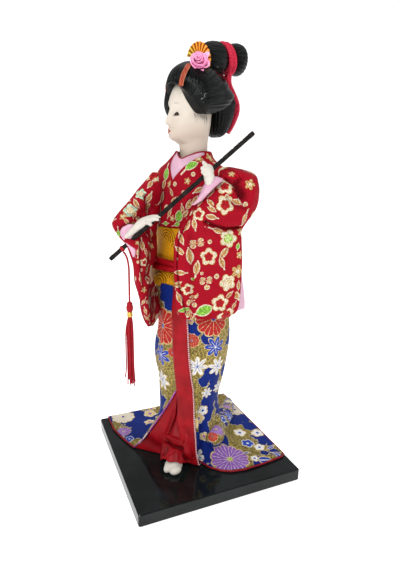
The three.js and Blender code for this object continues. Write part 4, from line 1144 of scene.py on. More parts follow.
def strand_points(k):
    """The line of one strand: it starts near the ring, swells outwards, sways, and may go astray."""
    ring, angle = 0.4 + 1.3 * np.sqrt((k + 0.5) / STRANDS), k * GOLDEN_TURN
    low = STRAND_LOWEST + STRAND_UNEVEN * silk.random()
    sway = 1.2 * (silk.random(2) - 0.5)
    stray = STRAY_BY[k % len(STRAY_BY)] * (0.7 + 0.3 * silk.random())
    end = 1.0 + 0.9 * silk.random()
    for z, share in (STRAND_TOP, 0.6), (120, 1.1), (113, 1.35), (100, 1.25), (87, 1.2), (low, end):
        r = ring * share
        wander = (STRAND_TOP - z) / 50
        leaning = np.array([r * cos(angle) + sway[0] * wander, r * sin(angle) + sway[1] * wander, 0]) * MM
        yield arms(TASSEL_SIDE, TASSEL_OUT, z) + astray * stray * min(1.0, wander * 4) + leaning


tassel_strands = joined("tassel_silk", *(
    sweep(f"strand_{k}", list(strand_points(k)), lambda angle, share: STRAND_RADIUS, 8, 24)[0]
    for k in range(STRANDS)))
dress(tassel_strands, cord_red, "red_cord", "tassel_strands")
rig.cord(tassel_cord, exit=tassel_line[0], length=tassel_cord["length"], diameter=TASSEL_DIAMETER * MM,
        far_end="fitting", stiffness="limp", lay="hanging", path=tassel_line,
        with_pieces=[tassel_head, tassel_ring, tassel_strands])
print("strands:", STRANDS)

# %% [markdown]
# ## The skirt and its train
# The skirt is one length of brocade. It starts under the red band down the front, goes round the doll's
# left side and the back, and ends in the slanting front edge on the right, where it swings out and shows
# its lining. Low down it spreads to a square train that covers the back of the board, with a soft padded
# hem.

# %% Lines of the skirt
SKIRT_TOP = 141
SKIRT_CENTRE = (-1, -1)
# Corners of the hem on the board, seen from above.
HEM = np.array([
    (-12, -27.5), (4, -26), (14, -20.8), (24, -24.8), (33, -25.2), (40, -23.2), (48, -17.6), (59, -5.6),
    (69.4, 7.4), (70, 11.6), (-1.4, 82), (-78.5, 3.5), (-64, -10.6), (-51, -18.6), (-39, -24.4),
], float)
# Height, then the middle, half width and half depth of the column.
COLUMN = track([
    (9, -2, 23, 21), (40, -2.6, 22.6, 20.8), (54, -2.6, 22.8, 20.6), (68, -1.4, 24.4, 21.6),
    (82, -1.6, 26.8, 22.8), (94, -0.8, 27.4, 23.2), (106, 0.6, 26.4, 22.8), (120, 0, 25.8, 22.6),
    (136, -1.5, 26.5, 22.6),
])
# Height, then where the opening's edge is, and from where to where the red band runs.
OPENING_EDGE = track([(9, -38), (13, -34), (20, -28), (29, -22.3), (40, -15.6), (52, -9), (64, -2.9)])
FACING = track([
    (9.6, 8.6, 16), (11.5, 8, 15.4), (16.5, 6.6, 14.2), (22, 4.4, 13.4), (30.4, 1, 12.8), (42, -1.5, 11),
    (57, -2.5, 9.4), (74, -3.7, 7.6), (89, -4.7, 6.4), (110, -6, 5.2), (124, -6.3, 4), (135.5, -5.2, 2.6),
])
# Way along the cloth from the hem, then the height there, and the share of the column's way out to the hem.
SPREAD_LONG = 172
SPREAD = track([
    (0, 9.6, 0.975), (1.4, 10.4, 0.995), (2.8, 11.6, 0.985), (8, 12, 0.9), (25, 12, 0.6), (40, 13.2, 0.34),
    (50, 16, 0.19), (57, 21, 0.1), (65, 28.4, 0.046), (74, 38, 0.018), (86, 50, 0),
    (SPREAD_LONG, SKIRT_TOP, 0),
])

print("corners of the hem:", len(HEM))

# %% Rules of the skirt
def hem_reach(angle):
    """How far the hem is from the skirt's middle in the direction of an angle from the front."""
    dx, dy = np.sin(angle), -np.cos(angle)
    reach = np.full(np.shape(angle), 1e9)
    for a, b in zip(HEM, np.roll(HEM, -1, 0)):
        ax, ay = a - SKIRT_CENTRE
        ex, ey = b - a
        across = dx * ey - dy * ex
        across = np.where(np.abs(across) < 1e-9, 1e-9, across)
        out = (ax * ey - ay * ex) / across
        on = (ax * dy - ay * dx) / across
        reach = np.where((out > 0) & (on > -1e-6) & (on < 1 + 1e-6), np.minimum(reach, out), reach)
    return reach


def column_reach(angle, z):
    cx, a, b = COLUMN(z)
    dx, dy = np.sin(angle), -np.cos(angle)
    ox = SKIRT_CENTRE[0] - cx
    qa = (dx / a) ** 2 + (dy / b) ** 2
    qb = 2 * ox * dx / a**2
    qc = (ox / a) ** 2 - 1
    return (-qb + np.sqrt(qb * qb - 4 * qa * qc)) / (2 * qa)


def skirt_reach(angle, z, spread):
    """How far the skirt stands out from its middle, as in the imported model."""
    angle = np.mod(angle, 2 * pi)
    column = column_reach(angle, z)
    flare = column + (hem_reach(angle) - column) * spread
    turn = np.where(angle > pi, 2 * pi - angle, -angle)
    edge = OPENING_EDGE(z)[0] - SKIRT_CENTRE[0]
    depth = 21 + 4.3 * rise(-z, -64, -25) + SKIRT_CENTRE[1]
    edge_turn = np.arctan2(-edge, depth)
    fin = column + np.maximum(np.hypot(edge, depth) - column, 0) * bump(turn, edge_turn, 0.3)
    flat = depth / np.cos(np.clip(turn, -1.4, 1.4))
    front = np.where(turn > edge_turn, fin, np.where(turn > -0.62, flat, 0))
    front = np.where((z < 64) & (np.abs(turn) < 2.2), front, 0)
    return np.maximum(flare, front)


def skirt_turn(x, z, spread=0.0):
    """The angle round the skirt at which its front passes an x, found by coming closer a few times."""
    angle = np.arctan2(x - SKIRT_CENTRE[0], 24.0)
    for _ in range(14):
        reach = skirt_reach(angle, z, spread)
        angle = 0.5 * angle + 0.5 * np.arcsin(np.clip((x - SKIRT_CENTRE[0]) / reach, -0.99, 0.99))
    return angle


def skirt_place(angle, z, spread, lift=0.0):
    reach = skirt_reach(angle, z, spread) + lift
    return doll(SKIRT_CENTRE[0] + np.sin(angle) * reach, SKIRT_CENTRE[1] - np.cos(angle) * reach, z)


def skirt_front(x, z, lift=0.0):
    return skirt_place(skirt_turn(x, z), z, 0.0, lift)


print("from the skirt's middle to the hem in front, mm:", hem_reach(np.zeros(1)).round(1))

# %% Skirt
def skirt_ends(z, spread):
    x0, x1 = FACING(z)
    start = skirt_turn((x0 + x1) / 2, z, spread)
    under = np.where(z > 64, x0 + 2, OPENING_EDGE(np.minimum(z, 64))[0])
    return start, 2 * pi + skirt_turn(under, z, spread)


def skirt_hang(s, t):
    z, spread = SPREAD(t * SPREAD_LONG)
    start, end = skirt_ends(z, spread)
    angle = start + (end - start) * s
    low = rise(-z, -60, -14)
    ripple = 1.6 * np.sin(angle * 7 + 0.6) * rise(z, 12, 20) * low
    hang = 0.5 * np.sin(angle * 11 + z * 0.02) * rise(z, 50, 90) * rise(-z, -134, -118)
    lift = 1.1 * np.maximum(0, np.sin(angle * 5 + 1.2)) * bump(spread, 0.55, 0.3)
    places = skirt_place(angle, z, spread, (ripple + hang) * (1 - spread))
    places[..., 2] += lift * MM
    return places


skirt = lay("skirt_cloth", 290, 168, skirt_hang, away_from=doll(0, 10, 40))
print("skirt faces:", len(skirt.data.polygons))

# %% [markdown]
# ### Where the motifs of the skirt lie
# Kinds: 1 to 3 are chrysanthemums in red, purple and cream, 4 and 5 maples in white and blue, 6 and 7
# blossoms in white and blue, 8 small gold flowers and 9 blue leaves. Then come the blue clouds of the
# ground, as places and sizes.

# %% Motifs of the skirt
SKIRT_SEEN = [
    (1, 162.7, 325.5, 19, 10), (5, 161, 354.5, 11, 80), (1, 172, 352.5, 5, 0), (4, 162.7, 379.4, 10, 100),
    (8, 190.6, 321, 3.6, 0), (1, 213.6, 318.8, 18.5, 72), (1, 191.8, 340.6, 7.4, 0),
    (5, 215.5, 347, 11, 20), (4, 197.4, 366.8, 10.4, 90), (4, 217.5, 366, 9.6, 110),
    (4, 217.5, 386, 6.4, 30), (4, 206.8, 392.8, 5.6, 60), (6, 202.8, 410.5, 5.4, 40),
    (8, 198.4, 418.4, 5.6, 0), (8, 204, 436.4, 4.4, 0), (3, 235, 409.6, 10, 30), (6, 239.7, 432.6, 6.2, 10),
    (6, 257.4, 432.8, 6.0, 40), (7, 247.6, 443.2, 6.2, 0), (6, 259.4, 447.2, 5.2, 20),
    (9, 246.2, 452.6, 3.6, 10), (2, 230, 459, 18, 18), (6, 254.6, 458.2, 4.2, 0),
    (9, 270.4, 447.4, 4.4, 40), (9, 265.4, 460, 6.6, 0), (9, 277.6, 454, 5, 160),
    (3, 123.2, 416.8, 10.5, 0), (8, 150, 413.6, 5.8, 0), (8, 149.4, 421.8, 4.8, 30),
    (2, 123.6, 431.4, 7, 10), (7, 129.4, 438.8, 4, 0),
]
SKIRT_REST = [
    (1, 13, 0.5), (2, 12, 0.4), (3, 9, 0.35), (5, 7.5, 1), (4, 7, 1.1), (6, 4.4, 1.2), (7, 4.4, 0.8),
    (8, 3.8, 1), (9, 3, 1),
]
BLUE_SEEN = [
    (168, 294, 12), (170, 303, 9), (160, 392, 5), (161, 401, 8), (160, 410, 6), (187, 326, 5),
    (193.6, 327.6, 8), (190.6, 332, 4), (207.6, 338, 6), (209.4, 371, 5), (205, 380, 6), (215, 379, 7),
    (213, 388, 6), (210.6, 399, 9), (217.6, 396, 8), (207, 412, 9), (202.7, 429, 7), (196, 438, 7),
    (205, 442, 11), (214.8, 447, 8), (222, 441, 6), (204, 455, 12), (243.8, 416, 11), (235, 420, 7),
    (250, 425, 7), (236, 414, 6), (139, 419, 15), (135.6, 432, 11), (148, 429, 10), (150, 414, 4),
    (264, 453, 3), (275, 452, 5), (260, 461, 6),
]


STREWN_CLOUD = 7.5


def soak(piece, seen, seed, count):
    """Clouds of blue in the ground: a number at each point of the cloth, half way at a cloud's edge. As
    many more as count says are strewn over the side that the picture does not show."""
    bpy.context.view_layer.update()
    clouds = [found[:2] for place in seen for found in met(piece, *place)]
    co = corners(piece)
    chance = np.random.default_rng(seed)
    toward = np.array(EYE) - co
    hidden = np.flatnonzero((outwards(piece) * toward).sum(1) < 0)
    for k in chance.choice(hidden, count):
        clouds.append((co[k], STREWN_CLOUD * MM * (0.7 + 0.7 * chance.random())))
    field = np.zeros(len(co))
    for at, r in clouds:
        field = np.maximum(field, np.exp(-0.69 * ((co - at) ** 2).sum(1) / r**2))
    remember(piece, "blue", "POINT", field)


print("motifs and clouds in the picture:", len(SKIRT_SEEN), len(BLUE_SEEN))

# %% [markdown]
# ### Sewing
# The cloth stays a single layer until its motifs lie on it. Then it is measured, because that is the piece
# that a maker would cut, and only then does it get its thickness.

# %% Sewing the skirt
def sew(piece, thickness, finish, slot, node, held, rests_on, area=None):
    """Measure a sheet while it is still a single layer, then give it its thickness and its finish. area is
    given where the cloth was measured before its creases were pressed."""
    flat = piece["across"], piece["along"]
    area = area or area_of(piece)
    wall(piece, thickness)
    dress(piece, finish, slot, node)
    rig.sheet(piece, flat=flat, area=area, held=held, rests_on=rests_on)
    print(piece.name, "is cut at, mm:", [round(size / MM) for size in flat])


soak(skirt, BLUE_SEEN, 5, 70)
lay_motifs(skirt, SKIRT_SEEN, SKIRT_REST, 11)
sew(skirt, 0.7, skirt_brocade, "skirt_brocade", "skirt", "gathered", ["base_plate", "obi"])

# %% [markdown]
# A long gather of the train turns forwards on the doll's left and ends in a soft tip beside the column.

# %% Gather of the train
GATHER = [
    (9, 66, 13, 3.4), (13.4, 48, 17, 6), (17, 26.5, 20.6, 6.6), (19.8, 5, 23.6, 6.8),
    (22.4, -11, 24.8, 6.4),
]
GATHER_TIP = (23.2, -18.6, 24.6)
gather_size = track([(k / (len(GATHER) - 1), row[3]) for k, row in enumerate(GATHER)])


def gather_radius(angle, share):
    folds = 1 + 0.06 * np.sin(angle * 3 + share * 9) + 0.05 * np.sin(share * 31)
    return gather_size(share)[0] * (1 - 0.75 * rise(share, 0.93, 1.02)) * folds


gather_points = [doll(*row[:3]) for row in GATHER] + [doll(*GATHER_TIP)]
gather, _ = sweep("skirt_gather", gather_points, gather_radius, 60, 140)
dress(gather, skirt_brocade, "skirt_brocade", "skirt")
soak(gather, [(229, 412, 4), (222, 410, 4), (226, 423, 3)], 8, 8)
lay_motifs(gather, [
    (6, 226, 396, 6, 0), (3, 229.4, 401, 5, 30), (2, 226.5, 406.5, 4.4, 0), (7, 222.5, 418, 5, 0),
    (2, 216, 429, 7, 0), (1, 212.6, 436.4, 5, 0),
], SKIRT_REST[3:], 3)

# %% [markdown]
# ## Creases
# Satin falls in sharp creases, and their shadows are what the eye sees first. A bump in the finish would
# leave the outline smooth, so each crease moves the cloth itself along a line in the picture. Where a
# crease is deep, the finish of the cloth is also painted darker, a painted shade.

# %% Pressing creases
DEEPEST = 3.5


def press(piece, *creases):
    """Press creases into the side of a piece that the camera sees, or raise folds on it. Each crease is a
    line of places in the picture, then its width in pixels, and how deep it goes in millimetres. The point
    attribute "crease" remembers how deep the cloth lies, so that its finish can paint shade into the crease."""
    co = corners(piece)
    normal = outwards(piece)
    shown = rise((normal * unit(np.array(EYE) - co)).sum(1), 0.0, 0.35)
    spot = seen_at(co)
    moved = np.zeros(len(co))
    for line, width, depth in creases:
        best = np.full(len(co), 1e9)
        for a, b in zip(line, line[1:]):
            a, b = np.array(a, float), np.array(b, float)
            t = np.clip(((spot - a) @ (b - a)) / ((b - a) @ (b - a)), 0, 1)
            gap = np.linalg.norm(spot - (a + t[:, None] * (b - a)), axis=1)
            best = np.minimum(best, gap)
        moved -= depth * np.exp(-((best / width) ** 2))
    move_corners(piece, co + normal * (moved * shown * MM)[:, None])
    remember(piece, "crease", "POINT", np.clip(-moved * shown / DEEPEST, 0, 1))


print("deepest crease, mm:", DEEPEST)

# %% [markdown]
# ## The red front: facing, lining and underskirt
# A band of red satin runs down the edge of the skirt's upper front. The corner that swings out shows its
# red lining, and between them the underskirt falls in a tent over the foot.

# %% Facing
FACING_LOW, FACING_TOP = 9.8, 140.5


def facing_hang(s, t):
    z = FACING_LOW + (FACING_TOP - FACING_LOW) * t
    x0, x1 = FACING(z)
    crown = 0.5 * np.sin(s * pi) ** 0.5
    return skirt_front(x0 + (x1 - x0) * s, z, 1.0 + crown)


facing = lay("facing_band", 14, 150, facing_hang, away_from=doll(0, 10, 60))
facing_area = area_of(facing)
press(
    facing, ([(184.6, 429), (187, 436)], 3, 0.8),
    ([(182.6, 445), (187, 453), (191.6, 458.6)], 2.6, 2.2),
)
sew(facing, 0.5, red_satin, "red_satin", "front_facing", "hung", ["skirt"], facing_area)

# %% Lining
LINING_FOLD = track([(9.4, -12.4), (24, -9), (42.8, -3.9), (61, -3.2)])
LINING_LOW, LINING_TOP = 9.6, 61


def lining_hang(s, t):
    z = LINING_LOW + (LINING_TOP - LINING_LOW) * t
    edge, fold = OPENING_EDGE(z)[0] + 0.4, LINING_FOLD(z)[0]
    inwards = 5 * rise(s, 0.88, 1.0) ** 2
    return skirt_front(edge + (fold - edge) * s, z, -0.5) + inwards[:, None] * doll(0, 1, 0)


lining = lay("lining_cloth", 60, 70, lining_hang, away_from=doll(-10, 20, 30))
lining_area = area_of(lining)
press(
    lining, ([(144, 438), (155, 446), (165, 450)], 5, 1.7),
    ([(174, 412), (168, 430), (164.6, 444)], 1.8, 1.2),
)
sew(lining, 0.6, red_satin, "red_satin", "skirt_lining", "hung", ["skirt"], lining_area)

# %% Underskirt
UNDERSKIRT_LOW, UNDERSKIRT_TALL = 9.5, 52.5
TENT, OVER_FOOT = 16.8, 7.2


def underskirt_front(x, z):
    """How far in front of the doll's middle the underskirt hangs: low down it stands out in a tent."""
    low = rise(64 - z, 0, 52)
    high = 1 - low
    left_slope = rise(x, -17 + 10.4 * high, -6 + 5.2 * high)
    right_slope = rise(-x, -13.6 + 3.25 * high, -6.4 + 1.625 * high)
    pleat = 1.2 * np.sin((x + 0.2 * z) * 0.62) * low * bump(x, 0, 14)
    return -(19.5 + 3.6 * low + TENT * left_slope * right_slope * low**4 + pleat)


def underskirt_hang(s, t):
    level = UNDERSKIRT_LOW + UNDERSKIRT_TALL * t
    left, right = OPENING_EDGE(level)[0] + 3, FACING(level)[1] - 0.5
    x = left + (right - left) * s
    raised = OVER_FOOT * rise(x, -16, -5) * rise(-x, -13, -8)
    z = UNDERSKIRT_LOW + raised + (UNDERSKIRT_TALL - raised) * t
    return doll(x, underskirt_front(x, z), z)


underskirt = lay("underskirt_cloth", 150, 130, underskirt_hang, away_from=doll(0, 20, 30))
press(
    underskirt, ([(177.5, 409), (173.4, 421), (168.6, 433)], 1.5, 2.2),
    ([(178.8, 413), (181, 428), (183.4, 441)], 1.4, 1.5), ([(168, 435.6), (173, 439), (179, 441)], 2, -1.5),
    ([(165.6, 440), (169.6, 443.8), (174, 446), (179.4, 447.6)], 1.7, 3.4),
    ([(175.4, 449.6), (168.4, 454.4), (163.6, 458.6)], 1.6, -1.2), ([(166.4, 447.4), (163, 453)], 2, 2.4),
    ([(177.8, 449.6), (180.6, 456.4), (182.6, 462.6)], 1.4, -1.0),
    ([(181.6, 449), (185, 456), (189, 461)], 2, 3.0),
)
sew(underskirt, 0.5, red_satin, "red_satin", "underskirt", "gathered", ["left_foot"])

# %% [markdown]
# The edges of the skirt are bound: red piping along the hem, purple along the edge that swings out, and a
# twist of white and pink down the side of the band. Each is a thin tube that follows the edge of the sheet
# it is sewn to.

# %% Piping
def edging(name, middle, out, up, radius, count, finish):
    """A tube along an edge. middle, out and up give its line and the two directions across it, by share."""
    def place(s, t):
        angle = s * 2 * pi
        return middle(t) + radius * MM * (np.cos(angle)[:, None] * out(t) + np.sin(angle)[:, None] * up(t))
    piece = form(name, 12, count, place)
    dress(piece, finish, "red_satin")
    print(name, "mm:", round(piece["along"] / MM))


def steady(x, y, z):
    """The same direction at every share, in the doll's own frame."""
    return lambda t: np.broadcast_to(doll(x, y, z) / MM, (len(t), 3))


UPWARD, FORWARD, SIDEWAYS = steady(0, 0, 1), steady(0, -1, 0), steady(1, 0, 0)
HEM_HEIGHT = 10.2


def hem_line(t):
    start, end = skirt_ends(np.full(np.shape(t), 10.4), 1.0)
    return skirt_place(start + (end - start) * t, np.full(np.shape(t), HEM_HEIGHT), 1.0, 0.5)


def hem_out(t):
    return unit(hem_line(t) - doll(*SKIRT_CENTRE, HEM_HEIGHT))


def opening_line(t):
    z = 9.8 + 53.2 * t
    return skirt_front(OPENING_EDGE(z)[0] - 0.2, z, 0.6)


def band_line(t):
    z = 10 + 129 * t
    return skirt_front(FACING(z)[1] + 0.3, z, 1.2)


edging("hem_piping", hem_line, hem_out, UPWARD, 0.7, 900, dark_piping)
edging("edge_piping", opening_line, FORWARD, SIDEWAYS, 0.55, 160, purple_piping)
edging("band_piping", band_line, FORWARD, SIDEWAYS, 0.5, 400, twisted_piping)

# %% [markdown]
# ## The foot
# One white foot in a split-toed sock steps out under the hem. It could be pulled out of a box, but a sock
# has no edges. So a long ball and two toes are melted into one skin, and the sole is pressed flat on the
# board.

# %% Foot
def moulded(name, parts, voxel, rounds):
    """Several rounded forms melted into one skin, as in a hand: joined, remeshed finely and smoothed."""
    piece = joined(name, *parts)
    modifier = piece.modifiers.new("melt", "REMESH")
    modifier.mode = "VOXEL"
    modifier.voxel_size = voxel * MM
    smooth = piece.modifiers.new("smooth", "SMOOTH")
    smooth.factor = 0.5
    smooth.iterations = rounds
    apply_modifiers(piece)
    alone(piece)
    bpy.ops.object.shade_smooth()
    return piece


SOLE_HEIGHT = 9.35


def ball(centre, radii):
    bpy.ops.object.select_all(action="DESELECT")
    bpy.ops.mesh.primitive_uv_sphere_add(segments=32, ring_count=20, radius=1)
    piece = bpy.context.object
    move_corners(piece, doll(*(corners(piece) * radii + centre).T))
    return piece


foot = moulded("foot_white", [
    ball((0.6, -35, 12), (6.4, 6.8, 3.8)),
    ball((-1.7, -38.8, 11.6), (3.0, 5.0, 2.8)),
    ball((3.6, -38.8, 11.7), (4.3, 5.3, 2.9)),
], voxel=0.3, rounds=3)
sole = corners(foot)
sole[:, 2] = np.maximum(sole[:, 2], SOLE_HEIGHT * MM)
move_corners(foot, sole)
dress(foot, gofun, "white_gofun", "left_foot")
print("corners of the foot:", len(foot.data.vertices))

# %% [markdown]
# ## The sash, its cord and the drum knot
# The sash is stiff gold brocade wound round the waist. Two strands of red satin cord hold it, and the drum
# knot sits at the back. Under the right arm a fold of the sash hangs a little lower.

# %% Sash
OBI = track([
    (136, 35, 23.6, -6.4), (141, 34, 23.2, -5.2), (147, 32, 22.6, -3), (156, 30.2, 21.6, -1),
    (179.4, 29.8, 22, -0.6),
])
OBI_LOW, OBI_TOP = 138.4, 179.4


def obi_reach(angle, z, more):
    a, b, cx = OBI(z)
    return torso(cx + (a + more) * np.cos(angle), (b + more) * np.sin(angle), z)


def obi_wind(s, t):
    z = OBI_LOW + (OBI_TOP - OBI_LOW) * t
    angle = 2 * pi * s
    wrinkle = 0.35 * np.sin(z * 0.9 + 2 * np.sin(angle * 2)) * bump(z, 148, 12) - 0.5 * bump(z, 156, 3)
    edge = -0.8 * rise(t, 0.96, 1)
    return obi_reach(angle, z, wrinkle + edge)


obi = lay("sash", 180, 60, obi_wind, closed=True, away_from=torso(0, 0, 156))
lay_motifs(obi, [
    (1, 154.4, 253.6, 13.6, -40), (1, 166.4, 238.6, 10, -20), (1, 158.6, 282.4, 12, -40),
    (1, 175.4, 249, 9, -30), (1, 174, 281, 8, -40), (1, 147.6, 286, 6, -20), (1, 178, 292, 8, 0),
    (2, 152, 228.6, 5, 0),
], [(1, 8, 1), (2, 7, 0.8)], 31)
sew(obi, 0.8, sash_brocade, "gold_brocade", "obi", "stretched", ["skirt"])

# %% Cord of the sash
OBI_CORD_HEIGHT = 156


def double_ring(name, around, along, strand_place):
    """Two strands laid round beside each other. strand_place(side, s, t) has the side -1 and then 1."""
    piece = joined(name, *(
        lay(f"{name}_{side}", around, along, lambda s, t: strand_place(side, s, t), closed=True)
        for side in (-1, 1)))
    in_edit(piece, lambda: bpy.ops.mesh.normals_make_consistent(inside=False))
    return piece


def obi_strand(side, s, t):
    angle, around = t * 2 * pi, s * 2 * pi
    height = OBI_CORD_HEIGHT + 1.5 * np.sin(angle) + side * (1.85 + 0.35 * np.sin(angle * 3 + 1))
    r = 2.1 + 0.12 * np.sin(5 * around + angle * 40)
    return obi_reach(angle, height + r * np.sin(around), 3.0 + r * np.cos(around))


obi_cord = double_ring("sash_cord", 20, 240, obi_strand)
dress(obi_cord, red_satin, "red_satin", "obi_cord")

print("faces of the cord:", len(obi_cord.data.polygons))

# %% Drum knot
KNOT_LOW, KNOT_TOP = 138, 177
KNOT = track([(138, 13, 4), (143, 16, 6.5), (152, 17, 8), (163, 17, 8.4), (172, 16.5, 7.4), (177, 14, 4.5)])


def knot_place(s, t):
    z = KNOT_LOW + (KNOT_TOP - KNOT_LOW) * t
    a, b = KNOT(z)
    angle = 2 * pi * s
    x = a * power(np.cos(angle), 0.7)
    y = power(np.sin(angle), 0.7)
    tuck = -1.6 * bump(z, 155.5, 2.2)
    return torso(x, 24 + y * np.where(y < 0, 0.2, b + tuck), z)


obi_knot = form("drum_knot", 96, 60, knot_place)
dress(obi_knot, sash_brocade, "gold_brocade", "obi_knot")
lay_motifs(obi_knot, [], [(1, 9, 1), (2, 8, 0.8)], 32)
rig.padded(obi_knot, fill=0.8)

# %% [markdown]
# ## The bodice and the collar
# The upper robe crosses over the chest, the doll's left front over its right, and opens in a V. The pink
# collar of the under robe stands inside the V, and a thin dark red piping edges the neck.

# %% Lines of the chest
# Height, then half the width, and how far the chest reaches forwards and backwards.
CHEST = track([
    (177, 28, 21.8, 21.8), (190, 29, 22.4, 21), (200, 30, 22, 19.6), (208, 30.4, 21.2, 18),
    (213, 30, 20.4, 16), (217.6, 26.4, 19.4, 14), (221.4, 19.4, 18, 12.6), (225, 14.6, 16, 12),
    (227.4, 12.8, 13.8, 12.4), (228.8, 12, 13, 12.2),
])
# Height, then where the edge of each front runs. COLLAR_TOP has the angle round it, then its height.
LAPEL_LEFT = track([
    (177, -12), (190, -8), (200, -4.4), (209, 0.2), (216.7, 6.3), (223, 10.6), (228.8, 12.6),
])
LAPEL_RIGHT = track([(177, 12), (196, 6), (209, 0.2), (217.3, -4.1), (223, -5.9), (228.8, -6.4)])
COLLAR_TOP = track([
    (-1.2, 228.6), (-0.413, 228.6), (-0.1, 226.4), (0.238, 224.1), (0.522, 225.7), (0.9, 227.6),
    (1.357, 228.6), (6, 228.6),
])
CHEST_MIDDLE = (-0.8, 1)
CHEST_LOW, CHEST_TOP, COLLAR_LOW = 179.8, 228.8, 204

print("half width of the chest, mm:", CHEST(200)[0].round(1))

# %% Bodice
def chest_turn(x, z):
    """The angle round the chest, from the front, at which it passes an x."""
    return np.arcsin(np.clip((x - CHEST_MIDDLE[0]) / CHEST(z)[0], -0.97, 0.97))


def chest_place(turn_by, z, lift):
    a, front, back = CHEST(z)
    y = np.cos(turn_by)
    return torso(CHEST_MIDDLE[0] + (a + lift) * np.sin(turn_by),
                 CHEST_MIDDLE[1] - y * (np.where(y > 0, front, back) + lift), z)


def bodice_hang(s, t):
    z = CHEST_LOW + (CHEST_TOP - CHEST_LOW) * t
    start = chest_turn(LAPEL_LEFT(z)[0], z)
    end = 2 * pi + chest_turn(LAPEL_RIGHT(z)[0], z)
    turn_by = start + (end - start) * s
    over = 1.1 * rise(-s, -0.2, -0.02)
    pleat = 0.5 * np.sin(turn_by * 9 + z * 0.12) * rise(z, 180, 195) * rise(-z, -222, -205)
    return chest_place(turn_by, z, over + pleat)


bodice = lay("robe_chest", 240, 90, bodice_hang, away_from=torso(0, 0, 200))

print("faces of the bodice:", len(bodice.data.polygons))

# %% Collar
def collar_hang(s, t):
    z = COLLAR_LOW + (CHEST_TOP - COLLAR_LOW) * t
    start = chest_turn(LAPEL_RIGHT(z)[0], z) - 0.12
    end = chest_turn(LAPEL_LEFT(z)[0], z) + 0.12
    turn_by = start + (end - start) * s
    return chest_place(turn_by, COLLAR_LOW + (COLLAR_TOP(turn_by)[0] - COLLAR_LOW) * t, -0.9)


under_collar = lay("collar_cloth", 60, 60, collar_hang, away_from=torso(0, 0, 215))
sew(under_collar, 0.4, pink_satin, "pink_satin", "under_collar", "stretched", ["bodice"])


def neckline(t):
    turn_by = -0.6 + 2 * pi * t
    return chest_place(turn_by, COLLAR_TOP(turn_by)[0], -0.8)


def away_from_neck(t):
    away = neckline(t) - torso(*CHEST_MIDDLE, 228)
    away[:, 2] = 0
    return unit(away)


edging("neck_piping", neckline, away_from_neck, UPWARD, 0.5, 300, dark_piping)

# %% [markdown]
# ## The sleeves
# Each sleeve is a wide tube of brocade over a bent arm, and it hangs down as a deep bag with rounded
# corners. The rule gives, at each height, where the bag's front and back edges are and how thick it swells.

# %% Outlines of the sleeves
# Height, then side and distance in front of the bag's inner edge and of its outer edge, and its thickness.
LEFT_BAG = track(sorted([
    (218.9, 16, 18, 24, 16, 3), (217.6, 14.4, 18, 31, 15, 8), (216, 13.6, 19, 36, 14, 13),
    (213.6, 13.6, 20, 38.6, 14, 18), (208.8, 13, 23, 39.2, 14, 22), (203, 8, 27, 39.6, 14, 23),
    (196, 1, 30, 39.4, 15, 21.4), (190, -3, 31.6, 37, 17, 17), (184, -7, 33, 32.6, 20, 13),
    (179, -10.6, 33.6, 30, 22, 10.4), (172, -12.8, 34, 30.4, 23, 9), (158, -13, 34.6, 31.2, 24, 8),
    (144, -12.4, 34.6, 31, 24, 7.8), (130, -11.4, 34, 30.4, 23.6, 7.6),
    (124.5, -9.4, 33.4, 28.6, 23.8, 6.6), (121.4, -5, 32, 24.6, 24.6, 4.4),
]))
RIGHT_BAG = track(sorted([
    (215, -28, 14, -25, 12, 4), (209, -32, 18, -25, 12, 8), (203, -36, 22, -25, 8, 12),
    (196, -40.6, 26, -26, 4, 15), (189, -46, 29, -27, 0, 17), (183, -49.8, 32, -27.6, 1, 16),
    (176, -45.6, 35, -28.6, 4, 14.6), (170, -39.6, 36, -29, 5, 13), (162, -36.6, 36, -30, 3, 12),
    (155, -35.6, 35.6, -31, 2, 10.6), (148, -34.8, 35, -32.2, 2, 9.6), (142, -34.2, 34, -31.8, 2, 9),
    (137, -33.6, 33, -29.6, 2.4, 8.6), (131, -33, 31, -27, 3, 8.4), (122, -32.2, 28.4, -25.8, 4.6, 8),
    (117, -31.6, 26, -26.2, 6.4, 7), (113, -30.2, 24, -27.4, 9, 4.8),
]))
LEFT_LOW, LEFT_TOP = 121.4, 218.9
RIGHT_LOW, RIGHT_TOP = 113, 215
print("depth of the sleeves, mm:", LEFT_TOP - LEFT_LOW, RIGHT_TOP - RIGHT_LOW)

# %% Sleeves
def eased(t):
    """Rows that lie closer together near both ends."""
    return 0.4 * t + 0.3 * (1 - np.cos(pi * t))


def bag_place(rows, s, z, wrinkle=0.0):
    """A place on a bag: s goes once round it at the height z."""
    s0, o0, s1, o1, thick = rows(z)
    angle = 2 * pi * s
    swell = thick / 2 * power(np.sin(angle), 0.8) + wrinkle * np.sin(angle)
    across = power(np.cos(angle), 0.7)
    side, out = (s1 - s0) / 2, (o1 - o0) / 2
    length = np.hypot(side, out)
    return arms((s0 + s1) / 2 + side * across + out / length * swell,
                (o0 + o1) / 2 + out * across - side / length * swell, z)


def left_sleeve_hang(s, t):
    z = LEFT_LOW + (LEFT_TOP - LEFT_LOW) * eased(t)
    wrinkle = 0.5 * np.sin(z * 0.35 + 5 * s) * rise(z, 180, 200) + 0.5 * np.sin(s * 2 * pi * 3 + z * 0.05)
    return bag_place(LEFT_BAG, s, z, wrinkle)


def right_sleeve_hang(s, t):
    z = RIGHT_LOW + (RIGHT_TOP - RIGHT_LOW) * eased(t)
    wrinkle = 0.5 * np.sin(z * 0.3 + 4 * s) + 0.5 * np.sin(s * 2 * pi * 3 - z * 0.04)
    return bag_place(RIGHT_BAG, s, z, wrinkle)


